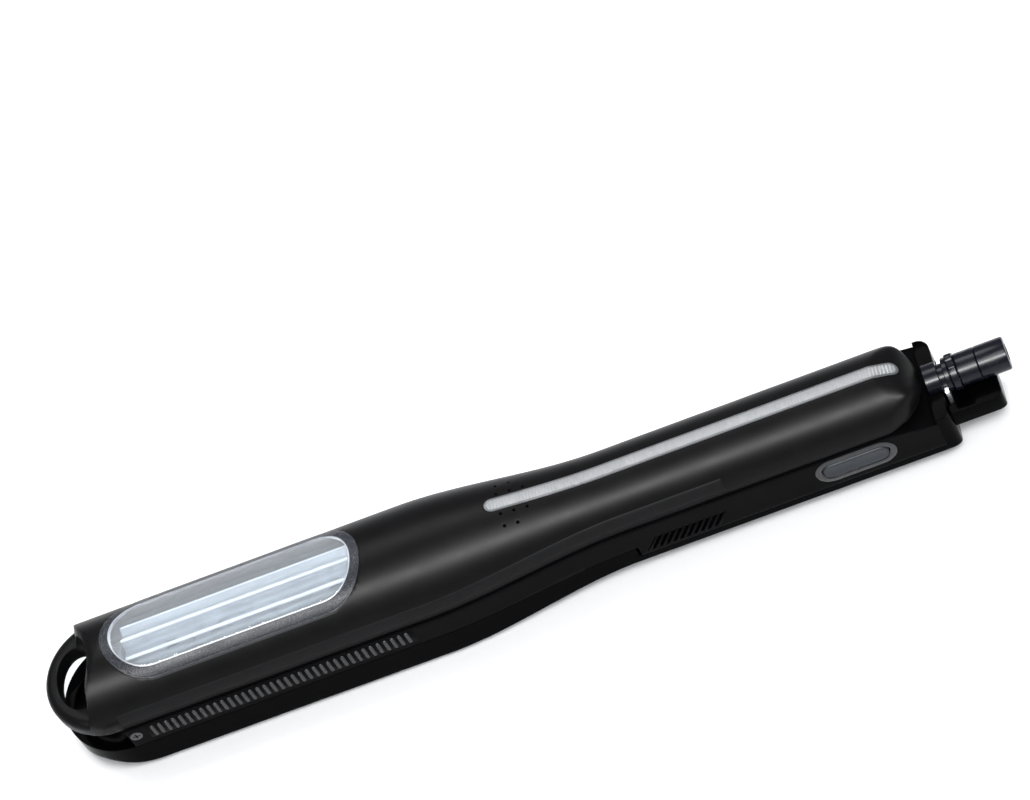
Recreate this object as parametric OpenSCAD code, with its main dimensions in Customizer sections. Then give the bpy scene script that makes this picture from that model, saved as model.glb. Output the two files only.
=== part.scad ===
// Automatic hair crimper: two arms on a rear hinge, a finned crimping drum
// in the upper arm and a heated plate in the lower one.
// X runs along the arms from the nose to the cord collar, +Z is up and the
// button side is -Y. Distances called *_at are measured back from the nose tip.

/* [Arms] */
// Length of the arms from the nose tip to the end of the tail
body_l = 334; // [300:1:400]
// Outer radius of the upper arm round the crimping drum
head_r = 21.4; // [20.5:0.1:24]
// Outer radius of the upper arm at the handle
handle_r = 15.4; // [15:0.1:18.4]
// Depth of the lower arm below the parting plane
lower_h = 23.6; // [21:0.1:28]
// How far the lower arm stands proud of the upper one at the sides
lower_flare = 0.8; // [0:0.1:1.5]
// Edge radius centre-line of the lower arm at the head
lower_round_head = 31; // [29:0.1:33]
// Edge radius centre-line of the lower arm at the handle
lower_round_handle = 24.2; // [23.6:0.1:28]
// Wall of the moulded shells
wall = 2; // [1.6:0.1:2.4]
// Gap between the two closed arms
arm_gap = 0.4; // [0.3:0.1:1]
// Height of the inner cover's side wall along the head
cover_h = 10; // [9:0.5:11]
// Height of the inner cover's side wall along the handle
cover_h_rear = 15; // [14.5:0.5:16]
// Distance from the nose tip to the start of the neck
neck_at = 133; // [125:1:140]
// Length of the neck between head and handle
neck_l = 70; // [50:1:75]

/* [Nose] */
// Length of the finger loop ahead of the head
loop_l = 20; // [19.5:0.5:23]
// Thickness of the upper loop
loop_t = 6.4; // [5:0.1:8]
// Half length of the finger hole
hole_a = 8; // [7:0.1:8.5]
// Half width of the finger hole
hole_b = 12.2; // [9:0.1:13.5]
// Distance from the nose tip to the middle of the finger hole
hole_at = 12.9; // [12.5:0.1:14]

/* [Window] */
// Distance from the nose tip to the window frame
window_at = 26.5; // [25:0.5:30]
// Length of the window frame
window_l = 93; // [85:1:96]
// Width of the window frame across the flat
window_w = 31.6; // [26:0.2:33]
// Width of the frame round the lens
window_rim = 3.6; // [2.5:0.1:4.5]

/* [Drum] */
// Radius over the tips of the fins
drum_r = 10.8; // [8.5:0.1:11]
// Number of crimping fins
drum_fins = 10; // [8:1:16]
// Length of the crimping drum
drum_l = 82; // [70:1:84]
// Distance from the nose tip to the drum
drum_at = 33; // [32:0.5:35]
// Height of the drum's axis above the parting plane
drum_up = 8; // [7.4:0.1:8.4]
// Radius of the drum's steel shaft
shaft_r = 2; // [1.5:0.1:2.5]
// Running clearance of shafts in their bushes, on the radius
run = 0.05; // [0.02:0.01:0.09]

/* [Plate] */
// Length of the heated plate
plate_l = 84; // [72:1:86]
// Width of the heated plate
plate_w = 26; // [22:0.5:28]
// Clearance between the fins and the plate
plate_gap = 0.5; // [0.4:0.1:1]
// Travel of the floating plate
plate_travel = 1; // [0.5:0.1:1.5]

/* [Hinge] */
// Distance from the nose tip to the hinge pin
hinge_at = 295.4; // [290:0.1:300]
// Radius of the hinge pin
pin_r = 2; // [1.5:0.1:2.5]
// Angle by which the arms open
open_angle = 16; // [12:1:20]

/* [Controls] */
// Distance from the nose tip to the middle of the button
button_at = 282; // [278:1:286]
// Length of the button's bezel
bezel_l = 28; // [22:0.5:30]
// Height of the button's bezel
bezel_h = 12; // [9:0.1:12.4]
// Width of the ring round the button
bezel_rim = 2.3; // [1.5:0.1:3]
// Travel of the button
button_travel = 1.2; // [0.5:0.1:1.5]
// Distance from the nose tip to the light strip
strip_at = 164; // [150:1:175]
// Length of the light strip
strip_l = 141; // [110:1:145]
// Width of the light strip
strip_w = 3.6; // [3:0.1:5]
// Number of comb ribs on each side
comb_ribs = 37; // [10:1:40]
// Spacing of the comb ribs
comb_pitch = 2.54; // [2.2:0.01:2.6]

/* [Collar] */
// Radius of the swivelling cord collar
collar_r = 5.7; // [5:0.1:6.2]
// Radius of the cord's way through the collar
cord_r = 2.6; // [2:0.1:3]
// How far the collar stands past the tail
collar_past = 6; // [2:0.5:10]
// Width of the lock ring
lock_w = 2.6; // [2:0.1:3]

/* [Hidden] */
$fn = 64;

slack = 0.1;                        // assembly clearance between fixed pieces
total_l = body_l + collar_past;
nose_x = -total_l / 2;              // where the nose tip lies on X
part_z = lower_h;                   // parting plane
up_z = part_z + arm_gap;            // lowest face of the upper arm
far = 2 * body_l;                   // longer than anything in the model

hinge_z = part_z;
rear_arc = handle_r;                // round end of the upper arm about the hinge
ear_r = 5.2;                        // hinge ears of the upper cover
ear_t = 2.6;
ear_y = 7.4;                        // inner face of each ear
relief = (open_angle + 2) / 2;      // slope of each arm's face behind the hinge
pin_end = ear_y + ear_t + 1.5;      // outer face of each pin head
pin_head_r = pin_r + 0.8;

drum_z = part_z + drum_up;
gear_m = 0.6;                       // gear module
gear_small = 10;                    // teeth
gear_large = 20;
lay_y = gear_m * (gear_small + gear_large) / 2;
gear_w = 3;
gear_bay = gear_m * (gear_large / 2 + 1) + 0.6; // half width that a gear needs
drum_end = drum_at + drum_l;
rear_bracket_at = drum_end + 1.5;
bracket_t = 3;
drum_gear_at = rear_bracket_at + bracket_t + 1;
motor_gear_at = drum_gear_at + gear_w + 2;
gear_plate_at = motor_gear_at + gear_w + 1;
gear_plate_t = 2;
motor_at = gear_plate_at + gear_plate_t;
motor_l = 25;

lower_half = head_r + lower_flare;  // half width of the lower arm at the head
grip_half = handle_r + lower_flare; // and at the handle
step_at = neck_at + neck_l + 1.5;         // where the seam drops
bulk_end = hinge_at + rear_arc + 5.4;
tail_half = grip_half - 5.2;
tail_drop = 7;

plate_at = drum_at + (drum_l - plate_l) / 2;
plate_top = part_z - 5.5;           // floor of the plate's grooves
plate_t = 2.4;
groove_pitch = 2.6;
groove_count = 4;                   // ridges on each side of the middle one
heater_t = 2.2;
clamp_t = 1.2;
spring_l = plate_travel + 5;
carrier_top = plate_top - plate_t - spring_l;
board_t = 1.6;
board_low = part_z - 18.2;          // underside of the main board
button_board_low = part_z + handle_r - 33;
stem_end = -grip_half + 2.8;        // tip of the button's stem
carrier_t = 1.5;
spring_x = [plate_at + 8, plate_at + plate_l - 8];

button_z = part_z - 6.4;
pad_l = bezel_l - 2 * bezel_rim;
pad_h = bezel_h - 2 * bezel_rim;

collar_z = part_z - 0.8;
collar_at = hinge_at + rear_arc + 0.9;
lock_at = collar_at + 8.7;
groove_r = collar_r - 1.4;
fork_at = bulk_end + 0.8;
fork_t = 1.2;

comb_at = 31.4;                     // first comb rib
vent_at = step_at + 2.5;            // slanted grille behind the comb
vent_l = 29;
vent_h = 6;
vent_lean = 4;
strip_low = 8;                      // the strip's sides start above the rear slope
deck_cover_at = neck_at + 13;       // long lid on the lower arm's inner face
deck_cover_l = 46;
deck_cover_w = 16;
deck_screw_at = [deck_cover_at - 4, deck_cover_at + deck_cover_l + 4];
bush_r = 3.4;
front_bracket_at = drum_at - 1.5 - bracket_t;
band_low = part_z + 2.6;            // lighter band along the upper arm's sides
band_high = part_z + 7.4;
upper_screw_at = [[neck_at + 67, 7.5], [neck_at + 107, -7.5], [hinge_at - 19.4, 7.5]];
dot_pitch = 4.5;
dot_holes = [for (i = [0 : 2]) [strip_at + 4 + dot_pitch * i, 4],
    for (i = [0 : 1]) [strip_at + 4 + dot_pitch * i, 8]];

cavity_at = max(hole_at + hole_a + 2.4, head_r + 0.5); // front wall of the drum's bay

function smooth(t) = t <= 0 ? 0 : t >= 1 ? 1 : t * t * (3 - 2 * t);
function neck(d) = smooth((d - neck_at) / neck_l);
function arm_r(d) = head_r + (handle_r - head_r) * neck(d);
function keel_r(d) = (lower_round_head + (lower_round_handle - lower_round_head) * neck(d))
    - 10 * pow(1 - smooth(d / 34), 2);
function stations(a, b) = concat([a],
    [for (d = [2 : 4 : 34]) if (d > a && d < b) d],
    [for (i = [0 : 12]) let (d = neck_at + neck_l * i / 12) if (d > a && d < b) d], [b]);
function arc(cx, cy, r, a, b, n = 20) =
    [for (i = [0 : n]) [cx + r * cos(a + (b - a) * i / n), cy + r * sin(a + (b - a) * i / n)]];

// ---- helpers ----
module block(d1, d2, y1, y2, z1, z2) {
    translate([nose_x + d1, y1, z1]) cube([d2 - d1, y2 - y1, z2 - z1]);
}
module rod_x(d1, d2, r, y = 0, z = 0) {
    translate([nose_x + d1, y, z]) rotate([0, 90, 0]) cylinder(h = d2 - d1, r = r);
}
module rod_y(d, z, r, y1, y2) {
    translate([nose_x + d, y2, z]) rotate([90, 0, 0]) cylinder(h = y2 - y1, r = r);
}
module rod_z(d, y, r, z1, z2) {
    translate([nose_x + d, y, z1]) cylinder(h = z2 - z1, r = r);
}
module both_sides() {
    children();
    mirror([0, 1, 0]) children();
}
// A slot outline with round ends, starting at distance d
module stadium(d, l, w) {
    translate([nose_x + d, 0]) {
        translate([w / 2, -w / 2]) square([l - w, w]);
        translate([w / 2, 0]) circle(r = w / 2);
        translate([l - w / 2, 0]) circle(r = w / 2);
    }
}
module prism(d, l, w, z1, z2) {
    translate([0, 0, z1]) linear_extrude(z2 - z1) stadium(d, l, w);
}
module ring_prism(d, l, w, rim, z1, z2) {
    translate([0, 0, z1]) linear_extrude(z2 - z1) difference() {
        stadium(d, l, w);
        stadium(d + rim, l - 2 * rim, w - 2 * rim);
    }
}
// Solid of revolution about the arms' long axis
module about_x(points) {
    translate([nose_x, 0, part_z]) rotate([0, 90, 0]) rotate_extrude($fn = 96) polygon(points);
}
module finger_hole(z1, z2) {
    outline = [for (a = [0 : 7.5 : 359]) [nose_x + hole_at - hole_a * cos(a), hole_b * sin(a)]];
    translate([0, 0, z1]) linear_extrude(z2 - z1) polygon(outline);
}

// ---- outlines of the two arms ----
module rear_round(grow) {
    intersection() {
        union() {
            block(-far, hinge_at, -far, far, -far, far);
            rod_y(hinge_at, hinge_z, rear_arc + grow, -far, far);
        }
        union() {
            block(-far, hinge_at, -far, far, -far, far);
            rod_z(hinge_at, 0, rear_arc + grow, -far, far);
        }
    }
}
module upper_solid(from, grow = 0, low = up_z) {
    to = hinge_at + rear_arc + grow;
    outline = [for (d = stations(from, to)) [arm_r(d) + grow, d]];
    intersection() {
        about_x(concat([[0, from]], outline, [[0, to]]));
        block(from, far, -far, far, low, far);
        rear_round(grow);
        difference() {
            block(-far, far, -far, far, -far, far);
            relief_cut();
        }
    }
}
// The upper arm's underside slopes up behind the hinge, so that it can tip
module relief_cut() {
    translate([nose_x + hinge_at, 0, up_z]) rotate([0, -relief, 0])
        translate([0, -far, -far]) cube([far, 2 * far, far]);
}
module nose_plan(r) {
    translate([nose_x + head_r, 0]) circle(r = r);
    translate([nose_x + head_r, -r]) square([far, 2 * r]);
}
module upper_loop() {
    edge = 3.2;
    profile = concat([[0, 0], [head_r, 0]],
        arc(head_r - edge, loop_t - edge, edge, 0, 90, 8), [[0, loop_t]]);
    intersection() {
        translate([nose_x + head_r, 0, up_z]) {
            rotate_extrude($fn = 96) polygon(profile);
            rotate([90, 0, 90]) linear_extrude(cavity_at - head_r) {
                polygon(profile);
                mirror([1, 0]) polygon(profile);
            }
        }
        block(-1, cavity_at, -far, far, part_z, far);
    }
}
module head_front() {
    slant = 19.4;
    translate([nose_x + loop_l - 6, 0, up_z + loop_t]) rotate([0, slant, 0])
        translate([0, -far, -far]) cube([far, 2 * far, 2 * far]);
}
module lower_plan(grow) {
    nose = lower_half + 0.6;
    corner = 4;
    side = concat(arc(nose, 0, lower_half + grow, 180, 90),
        [for (d = stations(nose + 1, bulk_end - corner - 1)) [d, arm_r(d) + lower_flare + grow]],
        arc(bulk_end - corner, grip_half - corner, corner + grow, 90, 0, 6));
    last = len(side) - 1;
    translate([nose_x, 0])
        polygon(concat(side, [for (i = [0 : last - 1]) [side[last - i][0], -side[last - i][1]]]));
}
module lower_solid(grow, z1, z2, from = 0, to = bulk_end) {
    intersection() {
        translate([0, 0, z1]) linear_extrude(z2 - z1) lower_plan(grow);
        about_x(concat([[0, 0]], [for (d = stations(0, bulk_end)) [keel_r(d) + grow, d]],
            [[0, bulk_end]]));
        block(from, to, -far, far, -far, far);
    }
}
module tail_solid(grow) {
    corner = 3;
    end = body_l + grow;
    half = tail_half + grow;
    intersection() {
        translate([0, 0, 4 - grow]) linear_extrude(part_z - tail_drop - 4 + 2 * grow) union() {
            translate([nose_x + bulk_end - 4, -half]) square([end - bulk_end + 4 - corner, 2 * half]);
            translate([nose_x + bulk_end, corner - half]) square([end - bulk_end, 2 * half - 2 * corner]);
            for (y = [corner - half, half - corner])
                translate([nose_x + end - corner, y]) circle(r = corner);
        }
        rod_x(bulk_end - 4, end, 18 + grow, 0, part_z);
    }
}
// Everything of the lower arm that belongs to the inner cover
module cover_zone() {
    block(loop_l + 3, step_at, -far, far, part_z - cover_h, far);
    block(step_at, hinge_at + rear_arc + 0.4, -far, far, part_z - cover_h_rear, far);
}

// ---- lower arm ----
module lower_shell() {
    color([0.02, 0.02, 0.024]) difference() {
        union() {
            difference() {
                lower_solid(0, 0, part_z);
                cover_zone();
                block(-1, loop_l + 3.1, -far, far, part_z - cover_h, far);
            }
            tail_solid(0);
        }
        lower_solid(-wall, wall, part_z, loop_l + 5.5, hinge_at + rear_arc - wall);
        finger_hole(-1, part_z);
        rod_x(hinge_at + rear_arc, body_l + 1, collar_r + 0.4, 0, collar_z);
        block(bulk_end + 0.01, body_l + 1, -collar_r - 0.4, collar_r + 0.4, collar_z, far);
        block(lock_at - 0.5, lock_at + lock_w + 0.5, -9, 9, collar_z - 8, far);
        fork_shape(slack);
        rod_x(hinge_at + rear_arc - wall - 1, bulk_end, cord_r, 0, collar_z - 7);
    }
}
module lower_inner_cover() {
    deck = part_z - wall;
    color([0.07, 0.07, 0.075]) difference() {
        union() {
            difference() {
                intersection() {
                    lower_solid(0, 0, part_z);
                    cover_zone();
                }
                lower_solid(-wall, -1, deck, loop_l + 5.5, hinge_at - ear_r);
                lower_solid(-wall, -1, deck - rear_arc * tan(relief), hinge_at - ear_r - 1,
                    hinge_at + rear_arc - wall);
                rear_slope();
            }
            rod_y(hinge_at, hinge_z, ear_r - 0.6, -ear_y + 0.7, ear_y - 0.7);
            block(hinge_at - ear_r + 0.6, hinge_at + ear_r - 0.6, -ear_y + 0.7, ear_y - 0.7,
                hinge_z - 6, hinge_z);
        }
        plate_opening();
        bumper_bodies(slack);
        both_sides() block(hinge_at - ear_r - 1, hinge_at + ear_r + 1,
            ear_y - 0.3, pin_end + 0.3, 0, far);
        block(hinge_at - ear_r + 1.4, hinge_at + ear_r, -3.4, 3.4, 0, far);
        rod_y(hinge_at, hinge_z, pin_r, -far, far);
        both_sides() {
            comb_backing();
            vent_window();
            side_screw_body();
        }
        bezel_body();
        for (d = deck_screw_at) rod_z(d, 0, 1.3, deck - 1, far);
        prism(deck_cover_at, deck_cover_l, deck_cover_w, part_z - 0.8, far);
    }
}

// The lower arm's top slopes down behind the hinge to make room for the upper one
module rear_slope() {
    translate([nose_x + hinge_at, 0, part_z]) rotate([0, relief, 0])
        translate([0, -far, 0]) cube([far, 2 * far, far]);
}
module plate_opening() {
    corner = 2;
    play = 0.8;
    l = plate_l + 2 * play - 2 * corner;
    w = plate_w + 2 * play - 2 * corner;
    linear_extrude(far) translate([nose_x + plate_at - play + corner, 0]) union() {
        translate([-corner, -w / 2]) square([l + 2 * corner, w]);
        translate([0, -w / 2 - corner]) square([l, w + 2 * corner]);
        for (x = [0, l], y = [-w / 2, w / 2]) translate([x, y]) circle(r = corner);
    }
}
module comb_backing() {
    y = lower_half - 0.8;
    z = part_z - 4.4;
    block(comb_at - 1.6, comb_at + comb_ribs * comb_pitch + 0.6, y, y + 2, z - 3.9, z + 3.4);
}
module comb_strips() {
    rib_w = 1.3;
    rib_l = 6.2;
    z = part_z - 4.4;
    color([0.24, 0.24, 0.25]) both_sides() {
        block(comb_at - 1.6, comb_at + comb_ribs * comb_pitch + 0.6,
            lower_half - 0.8, lower_half - 0.1, z - 3.9, z + 3.4);
        translate([nose_x + comb_at, lower_half + 0.45, z]) rotate([90, 0, 0])
            linear_extrude(0.6) for (i = [0 : comb_ribs - 1]) {
                x = i * comb_pitch;
                translate([x, -rib_l / 2 + rib_w / 2]) square([rib_w, rib_l - rib_w]);
                for (s = [-1, 1])
                    translate([x + rib_w / 2, s * (rib_l - rib_w) / 2]) circle(r = rib_w / 2, $fn = 24);
            }
    }
}
module side_screw_body() {
    rod_y(loop_l + 5.6, part_z - 4.2, 2.1, lower_half - 1.2, lower_half + 2);
}
module side_screws() {
    d = loop_l + 5.6;
    color([0.16, 0.16, 0.17]) both_sides() difference() {
        rod_y(d, part_z - 4.2, 2.1, lower_half - 1.2, lower_half + 0.3);
        block(d - 1.4, d + 1.4, lower_half - 0.2, far, part_z - 4.5, part_z - 3.9);
        block(d - 0.3, d + 0.3, lower_half - 0.2, far, part_z - 5.6, part_z - 2.8);
    }
}
module vent_outline() {
    polygon([[0, 0], [vent_l - vent_lean, 0], [vent_l, vent_h], [vent_lean, vent_h]]);
}
module vent_place(y) {
    translate([nose_x + vent_at, y, part_z - 13.6]) rotate([90, 0, 0]) children();
}
module vent_window() {
    vent_place(grip_half + 2) linear_extrude(wall + 3) vent_outline();
}
module vent_grilles() {
    slats = 9;
    color([0.1, 0.1, 0.105]) both_sides() {
        vent_place(grip_half + 0.35) linear_extrude(wall) difference() {
            vent_outline();
            for (i = [0 : slats]) translate([i * 2.75 + 1.2, 0.9])
                polygon([[0, 0], [1.3, 0], [1.3 + 2.6, vent_h - 1.8], [2.6, vent_h - 1.8]]);
        }
        vent_place(grip_half - wall + 0.6) linear_extrude(0.6) vent_outline();
    }
}
module plate_carrier() {
    z = carrier_top;
    color([0.8, 0.76, 0.66]) difference() {
        union() {
            block(plate_at - 1, plate_at + plate_l + 1, -plate_w / 2 - 1, plate_w / 2 + 1,
                z - carrier_t, z);
            for (x = spring_x, y = [-8, 8]) rod_z(x, y, 3.4, wall, z - carrier_t);
            for (x = spring_x, y = [-8, 8]) rod_z(x, y, 1.2, z, z + 2);
        }
        for (x = spring_x, y = [-8, 8]) rod_z(x, y, 0.9, wall - 1, z - 1);
        block(plate_at + 16, plate_at + plate_l - 16, -8, 8, z - carrier_t - 1, z + 1);
    }
}
module carrier_screws() {
    color([0.55, 0.56, 0.58]) for (x = spring_x, y = [-8, 8])
        rod_z(x, y, 0.9, wall, carrier_top - 1.2);
}
module plate_brackets() {
    low = plate_top + 0.05;
    high = part_z - wall;
    color([0.62, 0.63, 0.65]) {
        block(plate_at - 4.4, plate_at - 0.9, -9, 9, low, high);
        block(plate_at - 1, plate_at + 0.4, -9, 9, low, low + 1.2);
        block(plate_at + plate_l + 0.9, plate_at + plate_l + 4.4, -9, 9, low, high);
        block(plate_at + plate_l - 0.4, plate_at + plate_l + 1, -9, 9, low, low + 1.2);
    }
}
module plate_bumpers() {
    color([0.5, 0.5, 0.52]) bumper_bodies(0);
}
module bumper_bodies(grow) {
    both_sides() {
        block(plate_at + plate_l + 5 - grow, plate_at + plate_l + 9 + grow, 5 - grow, 8.5 + grow,
            part_z - 1, part_z + 0.1);
        block(plate_at - 5.6 - grow, plate_at - 2.6 + grow, 10 - grow, 13 + grow,
            part_z - 1, part_z + 0.1);
    }
}
module main_board() {
    color([0.05, 0.25, 0.12]) difference() {
        block(step_at + 6, step_at + 66, -11, 11, board_low, board_low + board_t);
        for (d = [step_at + 10, step_at + 62], y = [-8, 8]) rod_z(d, y, 1.1, 0, far);
    }
}
module board_parts() {
    z = board_low + board_t;
    color([0.15, 0.15, 0.16]) {
        block(step_at + 14, step_at + 22, -7, 1, z, z + 2);
        block(step_at + 36, step_at + 48, -8, -2, z, z + 3);
        rod_z(step_at + 30, 4, 3.2, z, z + 7);
        rod_z(step_at + 54, 5, 2.6, z, z + 6);
        for (i = [0 : 3]) block(step_at + 24 + i * 2, step_at + 25 + i * 2, -6, -4, z, z + 0.6);
    }
}
// An oval plug through the button side's wall
module oval_y(l, h, y1, y2) {
    translate([nose_x + button_at - l / 2, y2, button_z]) rotate([90, 0, 0])
        linear_extrude(y2 - y1) {
            translate([h / 2, -h / 2]) square([l - h, h]);
            for (x = [h / 2, l - h / 2]) translate([x, 0]) circle(r = h / 2);
        }
}
module bezel_body() {
    oval_y(bezel_l - 1.2, bezel_h - 1.2, -grip_half - 2, -grip_half + wall + 3);
}
module button_bezel() {
    face = grip_half + 0.4;
    color([0.16, 0.17, 0.19]) difference() {
        union() {
            oval_y(bezel_l, bezel_h, -face, -grip_half);
            oval_y(bezel_l - 1.2, bezel_h - 1.2, -grip_half, -grip_half + wall);
        }
        oval_y(pad_l, pad_h, -face - 1, -grip_half + wall + 1);
    }
}
module power_button() {
    color([0.2, 0.22, 0.25]) {
        oval_y(pad_l - 0.6, pad_h - 0.6, -grip_half - 0.6, -grip_half + 1.2);
        translate([nose_x + button_at, -grip_half + 1.2, button_z]) rotate([-90, 0, 0])
            cylinder(h = stem_end + grip_half - 1.2, r = 1.5);
    }
}
module button_board() {
    y = -grip_half + wall + 3.6;
    color([0.05, 0.25, 0.12])
        block(button_at - 10, button_at + 6, y, y + 1.2, button_board_low, part_z - wall - 1);
}
module tact_switch() {
    back = -grip_half + wall + 3.6;
    front = stem_end + button_travel + 0.2;
    color([0.4, 0.4, 0.42])
        block(button_at - 3, button_at + 3, front, back, button_z - 3, button_z + 3);
}
module hinge_pin() {
    color([0.7, 0.71, 0.73]) {
        rod_y(hinge_at, hinge_z, pin_r, -pin_end, pin_end);
        both_sides() rod_y(hinge_at, hinge_z, pin_head_r, pin_end - 0.9, pin_end);
    }
}
module hinge_spring() {
    wire = 0.5;
    coil = 2.6;
    color([0.75, 0.76, 0.78]) {
        for (i = [-2 : 2]) translate([nose_x + hinge_at, i * 2 * wire * 0.98, hinge_z])
            rotate([90, 0, 0]) rotate_extrude() translate([coil, 0]) circle(r = wire, $fn = 24);
        rod_z(hinge_at + coil, 2 * wire * 1.96, wire, hinge_z - 12, hinge_z);
        rod_x(hinge_at - 1, hinge_at + coil, wire, 2 * wire * 1.96, hinge_z - 12);
    }
}
module fork_shape(grow) {
    difference() {
        block(fork_at - grow, fork_at + fork_t + grow, -7 - grow, 7 + grow,
            collar_z - 8.5 - grow, collar_z + grow);
        rod_x(fork_at - 1, fork_at + fork_t + 1, groove_r + 0.25 - grow, 0, collar_z);
    }
}
module collar_fork() {
    color([0.62, 0.63, 0.65]) difference() {
        fork_shape(0);
        block(fork_at - 1, fork_at + fork_t + 1, -groove_r - 0.25, groove_r + 0.25, collar_z, far);
    }
}
module deck_cover() {
    color([0.1, 0.1, 0.105]) union() {
        prism(deck_cover_at + slack, deck_cover_l - 2 * slack, deck_cover_w - 2 * slack,
            part_z - 0.8, part_z);
        prism(deck_cover_at + 2, deck_cover_l - 4, deck_cover_w - 4, part_z, part_z + 0.1);
    }
}
module deck_screws() {
    color([0.5, 0.5, 0.52]) for (d = deck_screw_at) difference() {
        rod_z(d, 0, 1.3, part_z - 8, part_z - 0.1);
        block(d - 0.9, d + 0.9, -0.25, 0.25, part_z - 0.7, far);
        block(d - 0.25, d + 0.25, -0.9, 0.9, part_z - 0.7, far);
    }
}

// ---- floating heated plate ----
function under_drum(y) = min(-0.4, drum_up - sqrt(pow(drum_r + plate_gap, 2) - y * y));
module heat_plate() {
    ridge_w = 1.3;
    color([0.72, 0.68, 0.6]) union() {
        block(plate_at, plate_at + plate_l, -plate_w / 2, plate_w / 2, plate_top - plate_t, plate_top);
        for (i = [-groove_count : groove_count]) let (y = i * groove_pitch)
            block(plate_at + 1.2, plate_at + plate_l - 1.2, y - ridge_w / 2, y + ridge_w / 2,
                plate_top, part_z + under_drum(max(0, abs(y) - ridge_w / 2)));
    }
}
module plate_heater() {
    z = plate_top - plate_t;
    color([0.85, 0.84, 0.8]) block(plate_at + 13, plate_at + plate_l - 13, -6.5, 6.5, z - heater_t, z);
}
module heater_clamp() {
    z = plate_top - plate_t - heater_t;
    color([0.6, 0.61, 0.63]) block(plate_at + 20, plate_at + plate_l - 20, -5, 5, z - clamp_t, z);
}
module float_springs() {
    wire = 0.35;
    turns = 7;
    pitch = (spring_l - 2 * wire) / (turns - 1);
    color([0.75, 0.76, 0.78]) for (x = spring_x, y = [-8, 8]) {
        for (i = [0 : turns - 1]) translate([nose_x + x, y, carrier_top + wire + i * pitch])
            rotate_extrude() translate([2, 0]) circle(r = wire, $fn = 16);
        rod_z(x + 2, y, wire * 0.8, carrier_top + wire, carrier_top + spring_l - wire);
    }
}

// ---- cord collar ----
module swivel_collar() {
    color([0.06, 0.06, 0.075]) difference() {
        rod_x(collar_at, total_l - 10, collar_r, 0, collar_z);
        rod_x(collar_at - 1, total_l, cord_r, 0, collar_z);
        difference() {
            rod_x(fork_at - 0.3, fork_at + fork_t + 0.3, far, 0, collar_z);
            rod_x(0, far, groove_r, 0, collar_z);
        }
        difference() {
            rod_x(lock_at - 0.2, lock_at + lock_w + 0.2, far, 0, collar_z);
            rod_x(0, far, groove_r, 0, collar_z);
        }
    }
}
module swivel_sleeve() {
    color([0.1, 0.1, 0.115]) difference() {
        rod_x(total_l - 10, total_l, collar_r, 0, collar_z);
        rod_x(total_l - 11, total_l + 1, cord_r, 0, collar_z);
    }
}
module lock_ring() {
    outer = collar_r + 0.6;
    color([0.08, 0.08, 0.09]) difference() {
        union() {
            rod_x(lock_at, lock_at + lock_w, outer, 0, collar_z);
            block(lock_at, lock_at + lock_w, -1.9, 1.9, collar_z, collar_z + outer + 1.4);
            rod_x(lock_at, lock_at + lock_w, 1.9, 0, collar_z + outer + 1.4);
        }
        rod_x(lock_at - 1, lock_at + lock_w + 1, groove_r + run, 0, collar_z);
    }
}

// ---- upper arm ----
module upper_shell() {
    color([0.035, 0.035, 0.038]) difference() {
        union() {
            difference() {
                intersection() {
                    upper_solid(8);
                    head_front();
                    translate([0, 0, part_z]) linear_extrude(far) nose_plan(head_r);
                }
                upper_solid(cavity_at, -wall);
            }
            upper_loop();
            intersection() {
                upper_solid(cavity_at, -wall / 2);
                for (p = upper_screw_at) rod_z(p[0], p[1], 2.8, up_z + wall, far);
            }
        }
        finger_hole(part_z - 1, far);
        prism(window_at, window_l, window_w, part_z + head_r / 2, far);
        intersection() {
            prism(strip_at - 0.7, strip_l + 1.4, strip_w + 1.4, part_z, far);
            difference() {
                upper_solid(window_at, 2);
                upper_solid(window_at, -1.2);
            }
        }
        prism(strip_at, strip_l, strip_w, part_z + 6, far);
        both_sides() for (p = dot_holes) rod_z(p[0], p[1], 0.55, part_z + 6, far);
        for (p = upper_screw_at) rod_z(p[0], p[1], 1.2, part_z, part_z + 10);
        band_body(1);
    }
}
module band_body(grow) {
    intersection() {
        difference() {
            upper_solid(loop_l + 3, grow);
            upper_solid(loop_l + 2, -0.6);
        }
        block(loop_l + 3.5, hinge_at - 56, -far, far, band_low, band_high);
    }
}
module side_bands() {
    color([0.13, 0.13, 0.135]) band_body(0.2);
}
module upper_inner_cover() {
    color([0.06, 0.06, 0.065]) difference() {
        union() {
            intersection() {
                upper_solid(cavity_at + slack, -wall - slack);
                block(0, far, -far, far, up_z, up_z + wall);
            }
            both_sides() {
                rod_y(hinge_at, hinge_z, ear_r, ear_y, ear_y + ear_t);
                block(hinge_at - ear_r, hinge_at + ear_r, ear_y, ear_y + ear_t, hinge_z, up_z + wall);
            }
        }
        block(drum_at - 1.4, drum_end + 1.4, -drum_r - 0.7, drum_r + 0.7, 0, far);
        block(drum_gear_at - 0.6, gear_plate_at - 0.2, -gear_bay, lay_y + gear_bay, up_z + 0.6, far);
        block(hinge_at - ear_r - 1, far, -ear_y, ear_y, 0, far);
        rod_y(hinge_at, hinge_z, pin_r + run, -far, far);
        both_sides() rod_y(hinge_at, hinge_z, pin_head_r + 0.4, ear_y + ear_t, pin_end + 0.4);
        for (p = upper_screw_at) {
            rod_z(p[0], p[1], 1.3, 0, far);
            rod_z(p[0], p[1], 2.5, 0, up_z + 1);
        }
    }
}
module upper_screws() {
    color([0.5, 0.5, 0.52]) for (p = upper_screw_at) difference() {
        union() {
            rod_z(p[0], p[1], 1.2, up_z + 0.5, part_z + 9);
            rod_z(p[0], p[1], 2.4, up_z + 0.2, up_z + 1);
        }
        block(p[0] - 1.6, p[0] + 1.6, p[1] - 0.3, p[1] + 0.3, 0, up_z + 0.6);
    }
}
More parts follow.
